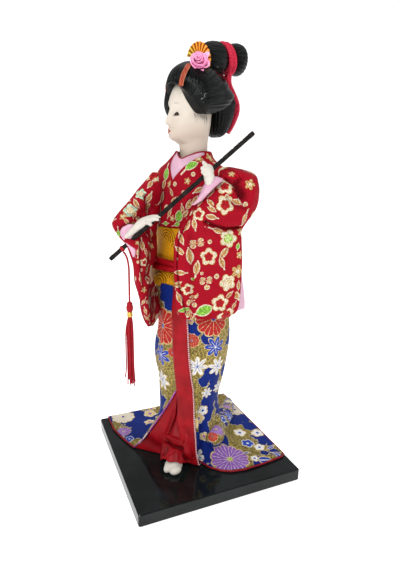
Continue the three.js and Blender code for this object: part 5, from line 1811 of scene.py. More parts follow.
left_sleeve = form("sleeve_left", 240, 200, left_sleeve_hang)
right_sleeve = form("sleeve_right", 220, 200, right_sleeve_hang)
print("faces of the sleeves:", len(left_sleeve.data.polygons), len(right_sleeve.data.polygons))

# %% Creases of the sleeves
press(
    left_sleeve, ([(237, 185), (240, 190), (243, 196)], 3.8, 5.0),
    ([(224.8, 178.2), (232.9, 182.5), (241, 178)], 1.8, 3.0),
    ([(226, 171), (238, 173.6), (249, 177)], 3.6, -1.4), ([(249, 180), (254, 192), (251, 204)], 3, -1.0),
    ([(206, 222), (214, 226), (227, 229.4), (240, 228)], 1.8, 3.4),
    ([(208, 216), (224, 221.6), (238, 221)], 5.5, -1.6),
    ([(193.7, 205), (185.7, 223.5), (178.6, 239.5), (176.4, 265), (178.5, 285.5), (186, 314)], 0.8, 1.8),
    ([(191, 236), (192.6, 270), (191, 312)], 2.6, 1.0), ([(204, 233), (222, 240), (238, 238)], 3.5, -0.7),
    ([(186, 232), (184, 260), (185, 290)], 2.4, -0.8), ([(228, 198), (236, 206), (246, 208)], 2.2, 1.5),
)
press(
    right_sleeve, ([(124, 231.5), (131, 230.5)], 6.0, 6.0), ([(146, 196), (150, 212), (148, 232)], 2.2, 1.8),
    ([(133, 206), (143, 212), (151, 209)], 2.6, 1.2), ([(141, 240), (141.6, 262), (144, 290)], 2, 1.6),
    ([(138, 240), (137, 262), (140, 296)], 1.8, -0.7), ([(128, 214), (137, 219), (146, 219)], 2, 1.3),
    ([(155.6, 288), (155.6, 306), (156, 322)], 5.4, 3.2),
    ([(153.4, 238), (151.6, 254), (147.4, 278)], 2.2, 1.8),
)
crease_depths = values(left_sleeve.data.attributes["crease"].data, "value", 1)
print("deepest crease of the left sleeve, of 1:", round(crease_depths.max(), 2))

# %% [markdown]
# ### Where the motifs of the upper robe lie
# Kinds: 1 to 3 are white blossoms with red, gold and green hearts, 4 mint flowers, 5 green leaves, 6 gold
# leaves, 7 buds, 8 twigs and 9 small gold flowers.

# %% Motifs of the upper robe
LEFT_SLEEVE_SEEN = [
    (1, 224.7, 186.2, 8.6, 20), (1, 225.4, 205, 9.6, 50), (7, 226.6, 196.4, 2.6, 0),
    (1, 198.3, 214.2, 6.6, 10), (1, 208.7, 256.8, 8.8, 18), (3, 228.4, 238.6, 9, 0),
    (2, 227.6, 282.6, 8.6, 40), (1, 220, 303.3, 9, 10), (9, 237.6, 271.6, 7, 0), (5, 204.2, 310.6, 8.4, 20),
    (5, 184, 309.8, 3.2, 30), (5, 238, 246.4, 3, 80), (6, 211.2, 193, 5, 50), (6, 210.6, 203, 4.6, 130),
    (6, 211.8, 209, 4.6, 150), (6, 211.4, 217, 5.4, 165), (6, 200.6, 201.6, 5.6, 60),
    (6, 194.4, 224.2, 4.8, 100), (6, 186.6, 226, 5.2, 50), (6, 180, 251, 5.2, 140),
    (6, 189.6, 256, 7.4, 100), (6, 196.8, 268.2, 6.4, 80), (6, 180, 272.8, 5, 0), (1, 188, 289.4, 6.2, 30),
    (6, 218.4, 230.6, 5.4, 170), (6, 224, 253, 6, 50), (6, 222, 262.6, 5.6, 110), (6, 229.2, 295, 4, 40),
    (6, 238.6, 285.6, 4, 90), (6, 234, 305.6, 3.4, 60), (7, 194.4, 305, 3, 0), (6, 244.4, 219, 5.4, 70),
    (6, 236.6, 202.4, 5, 150), (9, 250, 184.4, 5.4, 0), (7, 245.4, 204.6, 3, 0), (9, 231.6, 174, 3.4, 10),
    (6, 251, 172.6, 4, 0), (7, 216.7, 276.4, 3, 0), (7, 207, 287.2, 3.4, 0), (7, 201.8, 273.4, 2, 0),
    (7, 209.8, 241.8, 2.6, 0), (8, 197, 243.4, 8, 0), (8, 206, 280.6, 7, 170), (6, 215, 172, 4.4, 20),
    (6, 179, 298, 5, 110), (8, 243, 258, 6, 90), (9, 240.6, 232, 4, 0), (6, 181, 238.6, 5.2, 110),
    (9, 239.8, 255, 4, 0),
]
RIGHT_SLEEVE_SEEN = [
    (6, 138.6, 252, 3.4, 80), (9, 138, 243, 3, 0), (6, 146, 252, 3.6, 110), (7, 141, 270, 2, 0),
    (6, 146.6, 270, 3.4, 60), (6, 140.6, 279, 3.2, 100), (1, 147.6, 280, 4, 0), (9, 143.6, 290, 3, 0),
    (6, 149, 294, 3.4, 80), (7, 147, 302, 2, 0), (6, 143.4, 302, 2.8, 60), (6, 151.4, 306, 3, 120),
    (7, 138, 262, 1.8, 0), (6, 134.6, 214.6, 3.6, 60), (6, 127, 222, 3.6, 120), (9, 133, 224.6, 3.4, 0),
    (6, 145, 228.6, 4, 80), (6, 139.4, 230, 3.6, 40), (4, 140.4, 193.6, 5.8, 0), (4, 129.6, 209.8, 7.2, 30),
    (6, 136, 203.6, 4.4, 120), (9, 123, 216.4, 4.2, 0), (6, 148.8, 198.4, 5, 60), (9, 151.4, 246, 3.4, 0),
    (6, 151.8, 235, 3.6, 80), (6, 149.4, 254, 3, 110), (1, 144.6, 262.4, 4.4, 0), (6, 145.4, 311, 3, 100),
    (9, 149.4, 315.6, 3, 0), (6, 154, 315, 3, 70), (7, 150, 323, 1.8, 0), (6, 154.6, 304, 3, 100),
    (6, 153.4, 324, 2.6, 20), (7, 154.4, 295, 1.8, 0), (6, 146.8, 318.4, 2.8, 120),
    (5, 118.4, 233.6, 3.2, 90), (6, 142.2, 245.4, 4.6, 100), (6, 146.4, 207, 4.4, 30),
    (7, 137.4, 218, 2.4, 0), (6, 150.4, 184, 4, 60), (1, 147.4, 221.4, 4.4, 0),
]
ROBE_REST = [
    (1, 6.4, 1), (2, 6, 0.7), (3, 6, 0.4), (5, 5, 0.6), (4, 5, 0.3), (8, 5.4, 0.9), (6, 3.8, 3),
    (9, 3.2, 1), (7, 2, 2),
]
lay_motifs(left_sleeve, LEFT_SLEEVE_SEEN, ROBE_REST, 21)
lay_motifs(right_sleeve, RIGHT_SLEEVE_SEEN, ROBE_REST, 22)
lay_motifs(bodice, [
    (5, 166.2, 174, 5.6, 80), (5, 191.4, 165, 6.4, 30), (5, 178.8, 216.4, 6, 75), (5, 165.6, 223.4, 3, 10),
    (5, 177, 224.4, 3, 20), (9, 169.6, 184.4, 3.6, 0), (7, 174.8, 184, 2.6, 0), (7, 193.2, 174.2, 2.6, 0),
    (6, 159.4, 190, 5, 110), (6, 162, 198, 4.6, 70), (9, 199, 158.6, 4.6, 0), (9, 209.8, 158, 5, 0),
    (7, 214.6, 163, 2.6, 0), (6, 198.4, 190, 4.4, 30), (6, 189, 204.4, 5.2, 60), (6, 182.4, 209, 3.6, 100),
    (7, 166.4, 207.6, 3.4, 0), (6, 173.2, 200.4, 3.6, 40), (7, 183.4, 192.6, 2.4, 0),
    (7, 178.4, 198.4, 2.4, 0), (6, 195, 200.4, 4.4, 60), (6, 169.4, 213.4, 3.6, 60),
    (9, 172.4, 218.4, 3.4, 0), (6, 185, 214, 4.2, 50), (6, 164, 184, 4.4, 70), (6, 171.4, 192.4, 3.6, 120),
    (9, 187.4, 181, 3.4, 0), (6, 188.4, 221, 4, 100), (6, 160.4, 214, 4.6, 80),
], ROBE_REST, 23)
sew(bodice, 0.6, red_brocade, "red_brocade", "bodice", "stretched", ["obi"])
for sleeve, node in ((left_sleeve, "left_sleeve"), (right_sleeve, "right_sleeve")):
    sew(sleeve, 0.4, red_brocade, "red_brocade", node, "hung", ["robe_chest"])

# %% [markdown]
# ## Pink cuffs
# The inner robe is pink satin and shows as a cuff at each wrist and as a strip behind the left sleeve. Only
# these parts are made, each as a small bag by the rule of the sleeves, because the rest is never seen.

# %% Cuffs
LEFT_CUFF = track(sorted([
    (213.2, 9.5, 33, 12.5, 32, 3), (211.6, 7, 33.4, 16.6, 30, 6), (209.5, 6, 33.6, 14.6, 30.5, 7),
    (206, 4.4, 33.6, 10.6, 31, 6.4), (202, 2.4, 33.6, 7, 32.4, 5), (198.6, 0.4, 33.4, 4, 33, 3.4),
    (195.8, -2.6, 33.2, -0.6, 33, 1.6),
]))
LEFT_DROP = track(sorted([
    (152, 26, 22, 31.4, 15, 2), (142, 26, 22, 33.4, 13.4, 2.4), (131, 26, 22, 35.2, 12.4, 2.6),
    (124, 26, 22, 35.6, 12.4, 2),
]))
RIGHT_CUFF = track(sorted([
    (183, -42, 31, -39, 30.4, 2.4), (181, -45.6, 31.6, -37.6, 29.6, 4), (177, -46.8, 32.4, -38, 30, 5),
    (172.4, -44, 33.4, -37.6, 31.6, 4.4), (168, -40.4, 36, -36.6, 35.4, 2.6),
    (163.6, -38.6, 37, -37.2, 36.8, 1.6),
]))
for name, rows, low, tall, around, along, node, held_by in (
    ("cuff_left", LEFT_CUFF, 195.8, 17.4, 64, 40, "left_inner_cuff", "left_sleeve"),
    ("drop_left", LEFT_DROP, 124, 28, 48, 40, "left_inner_drop", "left_sleeve"),
    ("cuff_right", RIGHT_CUFF, 163.6, 19.4, 64, 50, "right_inner_cuff", "right_sleeve"),
):
    cuff = form(name, around, along, lambda s, t: bag_place(rows, s, low + tall * t))
    sew(cuff, 0.4, pink_satin, "pink_satin", node, "hung", [held_by])

# %% [markdown]
# ## The hands
# The hands are small and smooth, with the fingers closed round the flute. Each finger is a tapered sweep,
# and all of them are melted into the palm and the forearm.

# %% Hands
def limb(frame_of, stations):
    """A rounded form through places that each have a radius. Its last end is drawn in."""
    radii = track([(k / (len(stations) - 1), s[3]) for k, s in enumerate(stations)])

    def radius(angle, share):
        return radii(share)[0] * (1 - 0.6 * rise(share, 0.93, 1.0))
    return sweep("limb", [frame_of(*s[:3]) for s in stations], radius, 16, 24)[0]


right_hand = moulded("hand_right", [limb(arms, stations) for stations in (
    [(-43.4, 33.4, 174.8, 1.7), (-40, 32.6, 178, 2.1), (-35, 31.8, 182.4, 2.5), (-30.4, 31.6, 185.8, 3.1),
     (-26.8, 32.4, 187.6, 2.3), (-23.6, 33.6, 188.4, 1.5), (-21.2, 34.4, 187.9, 0.9)],
    [(-28.6, 33, 186, 2), (-25.2, 35, 187, 1.4), (-22, 36, 186.6, 0.9)],
    [(-29.6, 33.4, 185, 2), (-27.6, 35, 183.8, 1.3), (-26.8, 35.6, 182.8, 0.9)],
)], voxel=0.32, rounds=5)
left_hand = moulded("hand_left", [limb(arms, stations) for stations in (
    [(8.6, 33, 206, 2), (8, 34, 210, 2.5), (7.8, 35.2, 214, 3.3), (6.9, 35.6, 217.4, 2.7),
     (5.1, 35.2, 220.2, 1.6), (3.7, 34.6, 222.2, 0.9)],
    [(7, 36.6, 216.4, 1.9), (4.4, 37, 217.6, 1.5), (2.7, 36.6, 217.7, 1)],
    [(6.6, 37, 213.4, 1.7), (4.6, 37.2, 215, 1.2), (3.2, 36.6, 216, 0.9)],
    [(9.2, 34.4, 215.4, 1.8), (8.8, 33.8, 218, 1.5), (7, 33.6, 220, 1)],
)], voxel=0.32, rounds=5)
dress(right_hand, gofun, "white_gofun", "right_hand")
dress(left_hand, gofun, "white_gofun", "left_hand")
print("corners of the hands:", len(right_hand.data.vertices), len(left_hand.data.vertices))

# %% [markdown]
# ## The flute
# A bamboo flute lacquered black: a slim rod with seven finger holes, thin bindings and a red band for the
# tassel. Painted dots would vanish from the side, so the holes are really bored, by a boolean.

# %% Flute
FLUTE_LOW, FLUTE_HIGH = arms(-53.4, 33, 160.9), arms(33.9, 33, 238.8)
FLUTE_HOLES = (0.3, 0.395, 0.505, 0.62, 0.8, 0.87, 0.93)
FLUTE_BINDINGS = (0.02, 0.22, 0.45, 0.56, 0.72, 0.98)
FLUTE_BAND = 0.09
flute_axis = unit(FLUTE_HIGH - FLUTE_LOW)
flute_up = unit(np.array([0, 0, 1]) - flute_axis * flute_axis[2])


def flute_at(share):
    return FLUTE_LOW + (FLUTE_HIGH - FLUTE_LOW) * share


def flute_radius(angle, share):
    binding = sum(0.14 * bump(share, middle, 0.008) for middle in FLUTE_BINDINGS)
    return 1.38 + binding - 0.4 * (rise(share, 0.997, 1.0) + rise(-share, -0.003, 0))


def band_radius(angle, share):
    return 1.6 + 0.3 * np.sin(np.clip(share, 0.02, 0.98) * pi) ** 0.4


flute, _ = sweep("flute_rod", [flute_at(0), flute_at(0.5), flute_at(1)], flute_radius, 40, 400)
bores = joined("bores", *(
    sweep("bore", [flute_at(hole) + flute_up * h * MM for h in (0.5, 1.7, 3.0)], lambda *_: 0.75, 20, 4)[0]
    for hole in FLUTE_HOLES))
cut_holes = flute.modifiers.new("holes", "BOOLEAN")
cut_holes.operation = "DIFFERENCE"
cut_holes.object = bores
cut_holes.solver = "EXACT"
apply_modifiers(flute)
bpy.data.objects.remove(bores)
dress(flute, black_wood, "black_flute", "flute")
band_points = [flute_at(FLUTE_BAND) + flute_axis * h * MM for h in (-0.95, 0, 0.95)]
band, _ = sweep("red_band", band_points, band_radius, 32, 20)
dress(band, cord_red, "red_cord", "flute_band")
print("flute, mm:", round(np.linalg.norm(FLUTE_HIGH - FLUTE_LOW) / MM, 1))

# %% [markdown]
# ## The head
# A smooth oval of gofun on a slim neck, with a small nose, a full chin and shallow eye sockets. A doll's
# face has no edges to extrude, so it is one closed grid whose places a few soft hills and hollows push in
# and out.

# %% Head
# Height, then half the width, and how far it reaches forwards and backwards.
HEAD_LOW, HEAD_TALL = 221, 54
FACE = track([
    (HEAD_LOW, 9.4, 9.4, 9.4), (229, 9.3, 9.3, 9.3), (233, 9.4, 10, 9.4), (234.6, 9.2, 12.6, 9.4),
    (236.4, 9.4, 16, 9.6), (238.4, 10.4, 17.6, 9.8), (241.7, 12, 17.8, 10), (244.6, 13, 17.3, 10.2),
    (247.4, 13.5, 17.4, 10.4), (251, 13.9, 16.9, 10.6), (255, 14, 16.8, 11), (260, 13.8, 17, 11.6),
    (265, 13, 15.4, 12), (270, 11.4, 12.6, 11.6), (275, 8, 9, 9),
])


def face_place(turn_by, z, lift=0.0):
    a, front, back = FACE(z)
    x, y = np.sin(turn_by), np.cos(turn_by)
    return (a + lift) * x, -y * (np.where(y > 0, front, back) + lift), z


def face_relief(x, z):
    bridge = 0.8 + 2.2 * rise(-z, -255.5, -246.2)
    nose = bridge * bump(x, 0, 1.5 + 0.25 * rise(-z, -254, -247))
    nose = nose * rise(z, 243.4, 245.8) * rise(-z, -259.5, -252.4)
    nose = nose + 0.6 * bump(np.abs(x), 1.4, 0.8) * bump(z, 245.6, 1.0)
    socket = -0.9 * bump(np.abs(x), 5.4, 3.0) * bump(z, 253.4, 2.6)
    lid = 0.35 * bump(np.abs(x), 5.6, 2.2) * bump(z, 251.4, 1.3)
    brow = 0.35 * bump(np.abs(x), 5.4, 3.6) * bump(z, 258.4, 2.2)
    lips = 0.8 * bump(x, 0, 2.0) * bump(z, 241.9, 0.9) + 0.75 * bump(x, 0, 1.7) * bump(z, 240.0, 0.8)
    parted = -0.5 * bump(x, 0, 2.4) * bump(z, 241.0, 0.35)
    under_lip = -0.6 * bump(x, 0, 2.6) * bump(z, 238.6, 0.8)
    chin = 0.7 * bump(x, 0, 3) * bump(z, 236.8, 1.5)
    cheek = 0.4 * bump(np.abs(x), 7.6, 3.4) * bump(z, 246.6, 4)
    return nose + socket + lid + brow + lips + parted + under_lip + chin + cheek


def head_hang(s, t):
    turn_by = (s - 0.5) * 2 * pi
    x, y, z = face_place(turn_by, HEAD_LOW + HEAD_TALL * t)
    relief = face_relief(x, z) * rise(np.cos(turn_by), 0.1, 0.4)
    return head(x, y - relief, z)


def head_measure(s, t):
    """Degrees from the middle of the face, and the height."""
    return (s - 0.5) * 360, HEAD_LOW + HEAD_TALL * t


head_piece = form("head_and_neck", 300, 300, head_hang, measure=head_measure)
print("corners of the head:", len(head_piece.data.vertices))

# %% [markdown]
# The face is painted with a fine brush, and painted shade is added to it: the lower face and the neck are
# darker, and a shadow lies under the hair. The paint is a set of masks over two measures of the skin: how
# far round the head it is, in degrees from the middle of the face, and how high, in millimetres above the
# floor.

# %% Painted face
painted = skin("painted gofun", (0.55, 0.49, 0.42), (0.60, 0.54, 0.47))
EYE_MIDDLE, EYE_HALF, EYE_HEIGHT, IRIS_MIDDLE = 23.9, 9.0, 250.2, 24.8
BROW_MIDDLE, BROW_HALF, BROW_HEIGHT = 24.4, 8.0, 257.7
LIPS_HALF, LIPS_HEIGHT = 8.6, 241.0
around_face, height = painted.measures()
from_middle = around_face.size()
eye = (from_middle - EYE_MIDDLE) / EYE_HALF
arch = 1.0 - (eye * eye).least(1.0)
above = height - EYE_HEIGHT
on_eye = eye.size().over(1.02, 0.97)
eye_white = above.over(-0.02, 0.05) * (arch * 1.6 - above).over(0.0, 0.1) * on_eye
iris = ((from_middle - IRIS_MIDDLE) * 0.27) ** 2.0 + (above - 0.8) ** 2.0
upper_lid = (above - arch * 1.6 - 0.14).size().over(0.62, 0.36) * on_eye
lower_lid = above.size().over(0.34, 0.16) * on_eye
lash = (above - 0.25).size().over(0.3, 0.1) * eye.over(1.05, 1.12) * eye.over(1.42, 1.25)
brow = (from_middle - BROW_MIDDLE) / BROW_HALF
brow_line = (height - BROW_HEIGHT + brow**2.0 * 0.8).size().over(0.26, 0.08)
brow_ends = brow.size().over(1.1, 0.6)
lip_side = from_middle / LIPS_HALF
lip_arch = 1.0 - (lip_side * lip_side).least(1.0)
over_lips = height - LIPS_HEIGHT
lip_top = lip_arch * 1.25 - over_lips
lip_low = lip_arch * 1.5 + over_lips
# Painted shadow: a soft brown under the wing of the hair, at the sides of the face.
shade_under_hair = (from_middle - 82.0 + (258.0 - height) * 1.2).over(-22.0, 6.0)
shade_under_hair = shade_under_hair * height.over(246.0, 253.5) * around_face.over(0, 20)
on_lips = lip_top.over(-0.08, 0.22) * lip_low.over(-0.08, 0.3)
near_lips = lip_top.over(-1.1, 0.3) * lip_low.over(-1.1, 0.3) * lip_side.over(1.7, 0.9)
# Painted shade: the skin is mixed towards a warm brown from the cheeks down over the neck.
painted.colour(painted.paint(
    painted.under(),
    (height.over(256, 236) * 0.7, (0.50, 0.39, 0.31)), (shade_under_hair * 0.5, (0.16, 0.11, 0.08)),
    (near_lips * 0.55, (0.55, 0.25, 0.16)), (on_lips, (0.30, 0.040, 0.026)),
    (over_lips.size().over(0.2, 0.05) * lip_side.over(0.9, 0.6), (0.10, 0.008, 0.008)),
    (brow_line * brow_ends * 0.75, (0.10, 0.075, 0.06)), (eye_white, (0.62, 0.56, 0.50)),
    (iris.over(2.6, 2.0) * eye_white, (0.022, 0.008, 0.006)),
    (iris.over(0.12, 0.03) * eye_white, (0.14, 0.09, 0.07)),
    (lower_lid * 0.9, (0.04, 0.015, 0.010)), (lash * 0.75, (0.05, 0.02, 0.015)),
    (upper_lid, (0.010, 0.005, 0.005)),
))
dress(head_piece, painted, "white_gofun", "head")
painted.tell()

# %% [markdown]
# ## The hair
# The hair is combed back in one big smooth shell that bulges into wings over the ears. It starts at the
# hairline on the skin, swells out within a few millimetres, and runs up to the crown. The nape hair is a
# separate roll.

# %% Hairline
# Height, then half the width, and how far the hair reaches forwards and backwards.
HAIR_TOP = 284.6
CAP = track([
    (250, 17.4, 9, 22.4), (252, 18.8, 10, 24.6), (254.6, 21.4, 12, 27), (260, 21.9, 14.8, 28),
    (266, 21, 17.2, 25.8), (272, 19, 18, 22.4), (278, 15, 15.4, 18.6), (282, 10, 10.6, 15.8),
    (HAIR_TOP, 5, 5, 12.4),
])
# Degrees from the middle of the face, then the height of the hairline on the near side and on the far side.
ROOT_FRONT = [(0, 268.2), (12, 268), (24, 266.4), (36, 263)]
ROOT_BACK = [(126, 256), (145, 261), (180, 262)]
ROOT_NEAR = track([
    *ROOT_FRONT, (50, 257.2), (62, 252.4), (72, 250.4), (90, 250.2), (108, 251), *ROOT_BACK,
])
ROOT_FAR = track([
    *ROOT_FRONT, (48, 256.4), (58, 252.6), (74, 252), (90, 251.6), (108, 252), *ROOT_BACK,
])

print("hairline over the forehead, mm:", ROOT_NEAR(0)[0])

# %% Hair shell
def hair_height(turn_by, t):
    degrees = np.abs(np.degrees(turn_by))
    root = np.where(turn_by > 0, ROOT_NEAR(degrees)[0], ROOT_FAR(degrees)[0])
    z = root + (HAIR_TOP - root) * rise(t, -0.15, 1.06)
    return z - rise(degrees, 30, 70) * 1.4 * bump(t, 0.05, 0.05)


def combed(turn_by, z):
    """Which strand passes a place, in millimetres, and how far along it: the hair is combed away from the
    face, up over the forehead and backwards over the ears."""
    side, up = (np.abs(np.degrees(turn_by)) - 14) * 0.25, z - 248
    return np.arctan2(up, side) * 24, np.hypot(side, up)


def hair_hang(s, t):
    turn_by = (s - 0.5) * 2 * pi
    z = hair_height(turn_by, t)
    fx, fy, _ = face_place(turn_by, z, -0.6)
    a, front, back = CAP(z)
    x, y = np.sin(turn_by), np.cos(turn_by)
    lane = combed(turn_by, z)[0]
    locks = 0.16 * np.sin(lane * 3.1) + 0.22 * np.sin(lane * 1.13 + 2)
    locks = locks * rise(t, 0.04, 0.15) * rise(-t, -0.95, -0.7)
    roll = 0.9 * bump(t, 0.17, 0.08) * rise(np.abs(np.degrees(turn_by)), 40, 70)
    more = locks + roll
    cx, cy = (a + more) * x, -y * (np.where(y > 0, front, back) + more)
    out = rise(t, -0.02, 0.09)
    crown = rise(t, 0.86, 1.0)
    px, py = fx + (cx - fx) * out, fy + (cy - fy) * out
    return head(px * (1 - 0.6 * crown), (py - 4) * (1 - 0.6 * crown) + 4, z)


def hair_measure(s, t):
    turn_by = (s - 0.5) * 2 * pi
    return combed(turn_by, hair_height(turn_by, t))


hair_cap = form("hair_shell", 380, 190, hair_hang, away_from=head(0, 4, 262),
                measure=hair_measure)
dress(hair_cap, hair, "black_hair", "hair_cap")

print("corners of the hair:", len(hair_cap.data.vertices))

# %% Nape hair and wisps
NAPE_LOW, NAPE_TALL = 239, 28
NAPE = track([(NAPE_LOW, 5, 14.6, 19), (240.4, 7.6, 12.8, 21.4), (244, 10, 12, 24.2), (251.4, 12.6, 11, 27),
               (256, 14, 10, 27.6), (262, 15, 9, 27.2), (267, 12, 9, 23)])


def nape_place(s, t):
    z = NAPE_LOW + NAPE_TALL * t
    a, near, far = NAPE(z)
    angle = 2 * pi * s
    groove = 0.2 * np.sin(angle * 24)
    y = (near + far) / 2 + ((far - near) / 2 + groove) * np.sin(angle)
    return head((a + groove) * np.cos(angle), y, z)


nape = form("nape_hair", 160, 60, nape_place)
dress(nape, hair, "black_hair", "nape_roll")

WISPS = 54
fall_of_hair = np.random.default_rng(17)


def wisp_points():
    """A fine hair that falls from the hairline over the cheek, and leans backwards on its way."""
    start = 67 + 38 * fall_of_hair.random()
    length, back_by = 1 + 5 * fall_of_hair.random() ** 1.7, 3 + 9 * fall_of_hair.random()
    for share in (0, 0.35, 0.7, 1):
        high = ROOT_NEAR(start)[0] + 0.5 - (length + 0.8) * share
        yield head(*face_place(radians(start + back_by * share**1.6), high, 0.06 - 0.05 * share))


side_wisps = joined("side_wisps", *(
    sweep(f"wisp_{k}", list(wisp_points()), lambda angle, share: 0.03 - 0.018 * share, 5, 8)[0]
    for k in range(WISPS)))
dress(side_wisps, hair, "black_hair", "hair_cap")
far_lock = limb(head, [
    (-12, -11.4, 270, 3), (-14, -11.4, 264, 3.4), (-16, -11.4, 258, 3.3), (-16.4, -10.2, 253, 2.4),
    (-16, -9, 250.6, 1.2),
])
far_lock.name = far_lock.data.name = "far_lock"
dress(far_lock, hair, "black_hair", "hair_cap")
print("wisps:", WISPS)

# %% [markdown]
# ### The topknot and its cord
# The hair is gathered into two round lobes that run backwards, drawn in at the waist by a double crocheted
# cord.

# %% Topknot
# Way backwards, then half the width and half the height of the lobes.
TOPKNOT_START, TOPKNOT_LONG, TOPKNOT_HEIGHT = 4, 32.4, 289
TOPKNOT = track([
    (TOPKNOT_START, 4, 3.4), (6, 8.4, 6.6), (10, 10.8, 8.4), (15, 11.2, 8.9), (18.4, 10, 8.2),
    (19.6, 7, 6.2), (26, 7, 6.2), (27.2, 9.4, 8.4), (29.6, 11.2, 9.6), (33, 10.6, 9.2), (35.4, 7.6, 7),
    (36.4, 3.6, 3.6),
])


CORD_BACK = 22.8


def topknot_place(s, t):
    y = TOPKNOT_START + TOPKNOT_LONG * t
    a, b = TOPKNOT(y)
    angle = -2 * pi * s
    groove = 0.2 * np.sin(angle * 22 + y * 0.2)
    lean = 0.3 * bump(y, CORD_BACK, 9)
    up = (b + groove) * np.sin(angle)
    return head((a + groove) * np.cos(angle), y - lean * b * np.sin(angle), TOPKNOT_HEIGHT + up)


topknot_lobes = form("topknot_lobes", 150, 120, topknot_place)
topknot_root = limb(head, [(0, 12, 277, 8.4), (0, 12.6, 283, 7.6), (0, 13.2, 288, 6.6)])
topknot = joined("topknot_hair", topknot_lobes, topknot_root)
dress(topknot, hair, "black_hair", "topknot")


def ring_strand(side, s, t):
    """One strand of the crocheted cord round the waist of the topknot, with 28 stitches."""
    angle, around, along = t * 2 * pi, s * 2 * pi, t * 28 * 2 * pi
    r = 1.52 + 0.17 * np.cos(2 * around + along) * np.cos(2 * around - along)
    out, shift = r * np.cos(around), side * 1.4 + r * np.sin(around)
    up = (8.15 + out) * np.cos(angle)
    return head((8.95 + out) * np.sin(angle), CORD_BACK + shift - 0.3 * up, TOPKNOT_HEIGHT + up)


topknot_cord = double_ring("topknot_ring", 20, 360, ring_strand)
dress(topknot_cord, crochet, "red_cord", "topknot_cord")
print("corners of the topknot:", len(topknot.data.vertices))

# %% [markdown]
# ### Rose, fan and ribbons
# A rolled satin rose, a small gold fan behind it, and two strips of stiff ribbon dress the front of the
# hair.

# %% Rose
ROSE_CENTRE = arms(0.3, 15.4, 281.6)
rose_out = unit(arms(0.15, 0.95, 0.25))
rose_across = unit(np.cross([0, 0, 1], rose_out))
rose_up = np.cross(rose_out, rose_across)


def rose_at(x, y, lift):
    """A place on the rose, in millimetres from its centre, as it is seen from in front."""
    x, y, lift = (number[..., None] for number in np.broadcast_arrays(x, y, lift))
    return ROSE_CENTRE + MM * (x * rose_across + y * rose_up + lift * rose_out)


def petal_turn(name, radius, low, high, start, wide, flare, x=0.0, y=0.0, point=0.0):
    """One turn of the rolled satin: a curved wall that leans outwards and rolls its edge. start and wide
    are angles, x and y shift it from the rose's middle, and point draws the middle of its edge out."""
    def place(s, t):
        angle = start + wide * s
        ends = np.sin(np.clip(s, 0, 1) * pi) ** 0.3
        r = radius * (0.82 + 0.18 * s) + flare * t**1.5 + 0.5 * rise(t, 0.8, 1.0)
        r = r + point * bump(s, 0.5, 0.22) * t
        lift = low + (high - low) * t * (0.6 + 0.4 * ends) - 0.4 * rise(t, 0.85, 1.0)
        return rose_at(x + r * np.cos(angle), y + r * np.sin(angle), lift)
    return lay(name, 60, 14, place, thick=0.25, side=0)


petals = [petal_turn(f"petal_{k}", *row) for k, row in enumerate((
    (0.6, -1, 3.0, 0.0, 6.0, 0.2, -0.9, 0.6), (1.3, -1, 2.9, 2.0, 5.6, 0.35, -0.8, 0.5),
    (2.1, -1.4, 2.7, 4.2, 5.4, 0.5, -0.5, 0.2), (2.9, -2, 2.2, 0.6, 4.8, 0.6, -0.2, 0),
    (3.5, -2.4, 1.4, 3.0, 3.6, 0.8), (3.8, -2.8, 0.8, 5.2, 3.0, 0.9), (3.9, -3, 0.2, 1.4, 3.0, 1.0),
    (4.0, -3, 0, 3.9, 2.4, 0.9), (1.9, -3, 0.2, 0.1, 1.5, 1.0, 3.0, 1.0, 2.6),
    (1.5, -3, 0.0, 4.4, 4.8, 0.7, 4.2, -1.8, 0.6), (0.8, -3, -0.8, 4.4, 1.2, 0.5, 2.4, -3.8, 0.7),
))]


def heart_place(s, t):
    r = 0.2 + 3.4 * t
    return rose_at(r * np.cos(2 * pi * s), r * np.sin(2 * pi * s), -1.6 - 1.2 * t)


heart = lay("rose_heart", 40, 8, heart_place, closed=True, thick=0.3, side=0)
rose = joined("satin_rose", heart, *petals)
dress(rose, rose_satin, "pink_satin", "hair_rose")

print("petals:", len(petals))

# %% Fan
FAN_PLEATS = 11
FAN_SMALL, FAN_LARGE = 2.4, 10.3


def fan_place(s, t):
    angle = -0.35 + 3.3 * s
    r = FAN_SMALL + (FAN_LARGE - FAN_SMALL) * t + 0.16 * np.cos(s * FAN_PLEATS * 2 * pi) * t
    fold = 0.5 * np.sin(s * FAN_PLEATS * 2 * pi) * r / 9.2
    return arms(0.6 + r * np.cos(angle) * 0.72, 9.6 + fold, 282.9 + r * np.sin(angle))


fan = lay("gold_fan", 176, 24, fan_place, thick=0.5, side=0, measure=lambda s, t: (s * FAN_PLEATS, t * 10))
dress(fan, fan_gold, "gold_fan", "hair_fan")

print("outer radius of the fan, mm:", FAN_LARGE)

# %% Ribbons
RIBBON_TOP, RIBBON_FALL, RIBBON_WIDE = 280.6, 14, 3.4


def ribbon(name, side):
    """A strip that lies on the hair, from the fan down towards the temple on one side."""
    def place(s, t):
        z = RIBBON_TOP - RIBBON_FALL * t
        a, front, _ = CAP(z)
        turn_by = side * (0.89 - 0.32 * t + (s - 0.5) * RIBBON_WIDE / a)
        lift = 0.7 + 0.15 * np.sin(s * pi)
        return head((a + lift) * np.sin(turn_by), -(front + lift) * np.cos(turn_by), z)
    return lay(name, 12, 50, place, thick=0.35, away_from=head(0, 4, 262))


for name, side, look in (("ribbon_near", 1, ribbon_near_finish), ("ribbon_far", -1, ribbon_far_finish)):
    dress(ribbon(name, side), look, "ribbon_red", "hair_" + name)
print("fall of the ribbons, mm:", RIBBON_FALL)

# %% [markdown]
# ## The board
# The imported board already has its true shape: a square with softened edges. It only needs its lacquer.

# %% Board
board = frame["nodes"]["base_plate"]
board.data.materials.clear()
board.data.materials.append(lacquer.material)
print("board faces:", len(board.data.polygons))

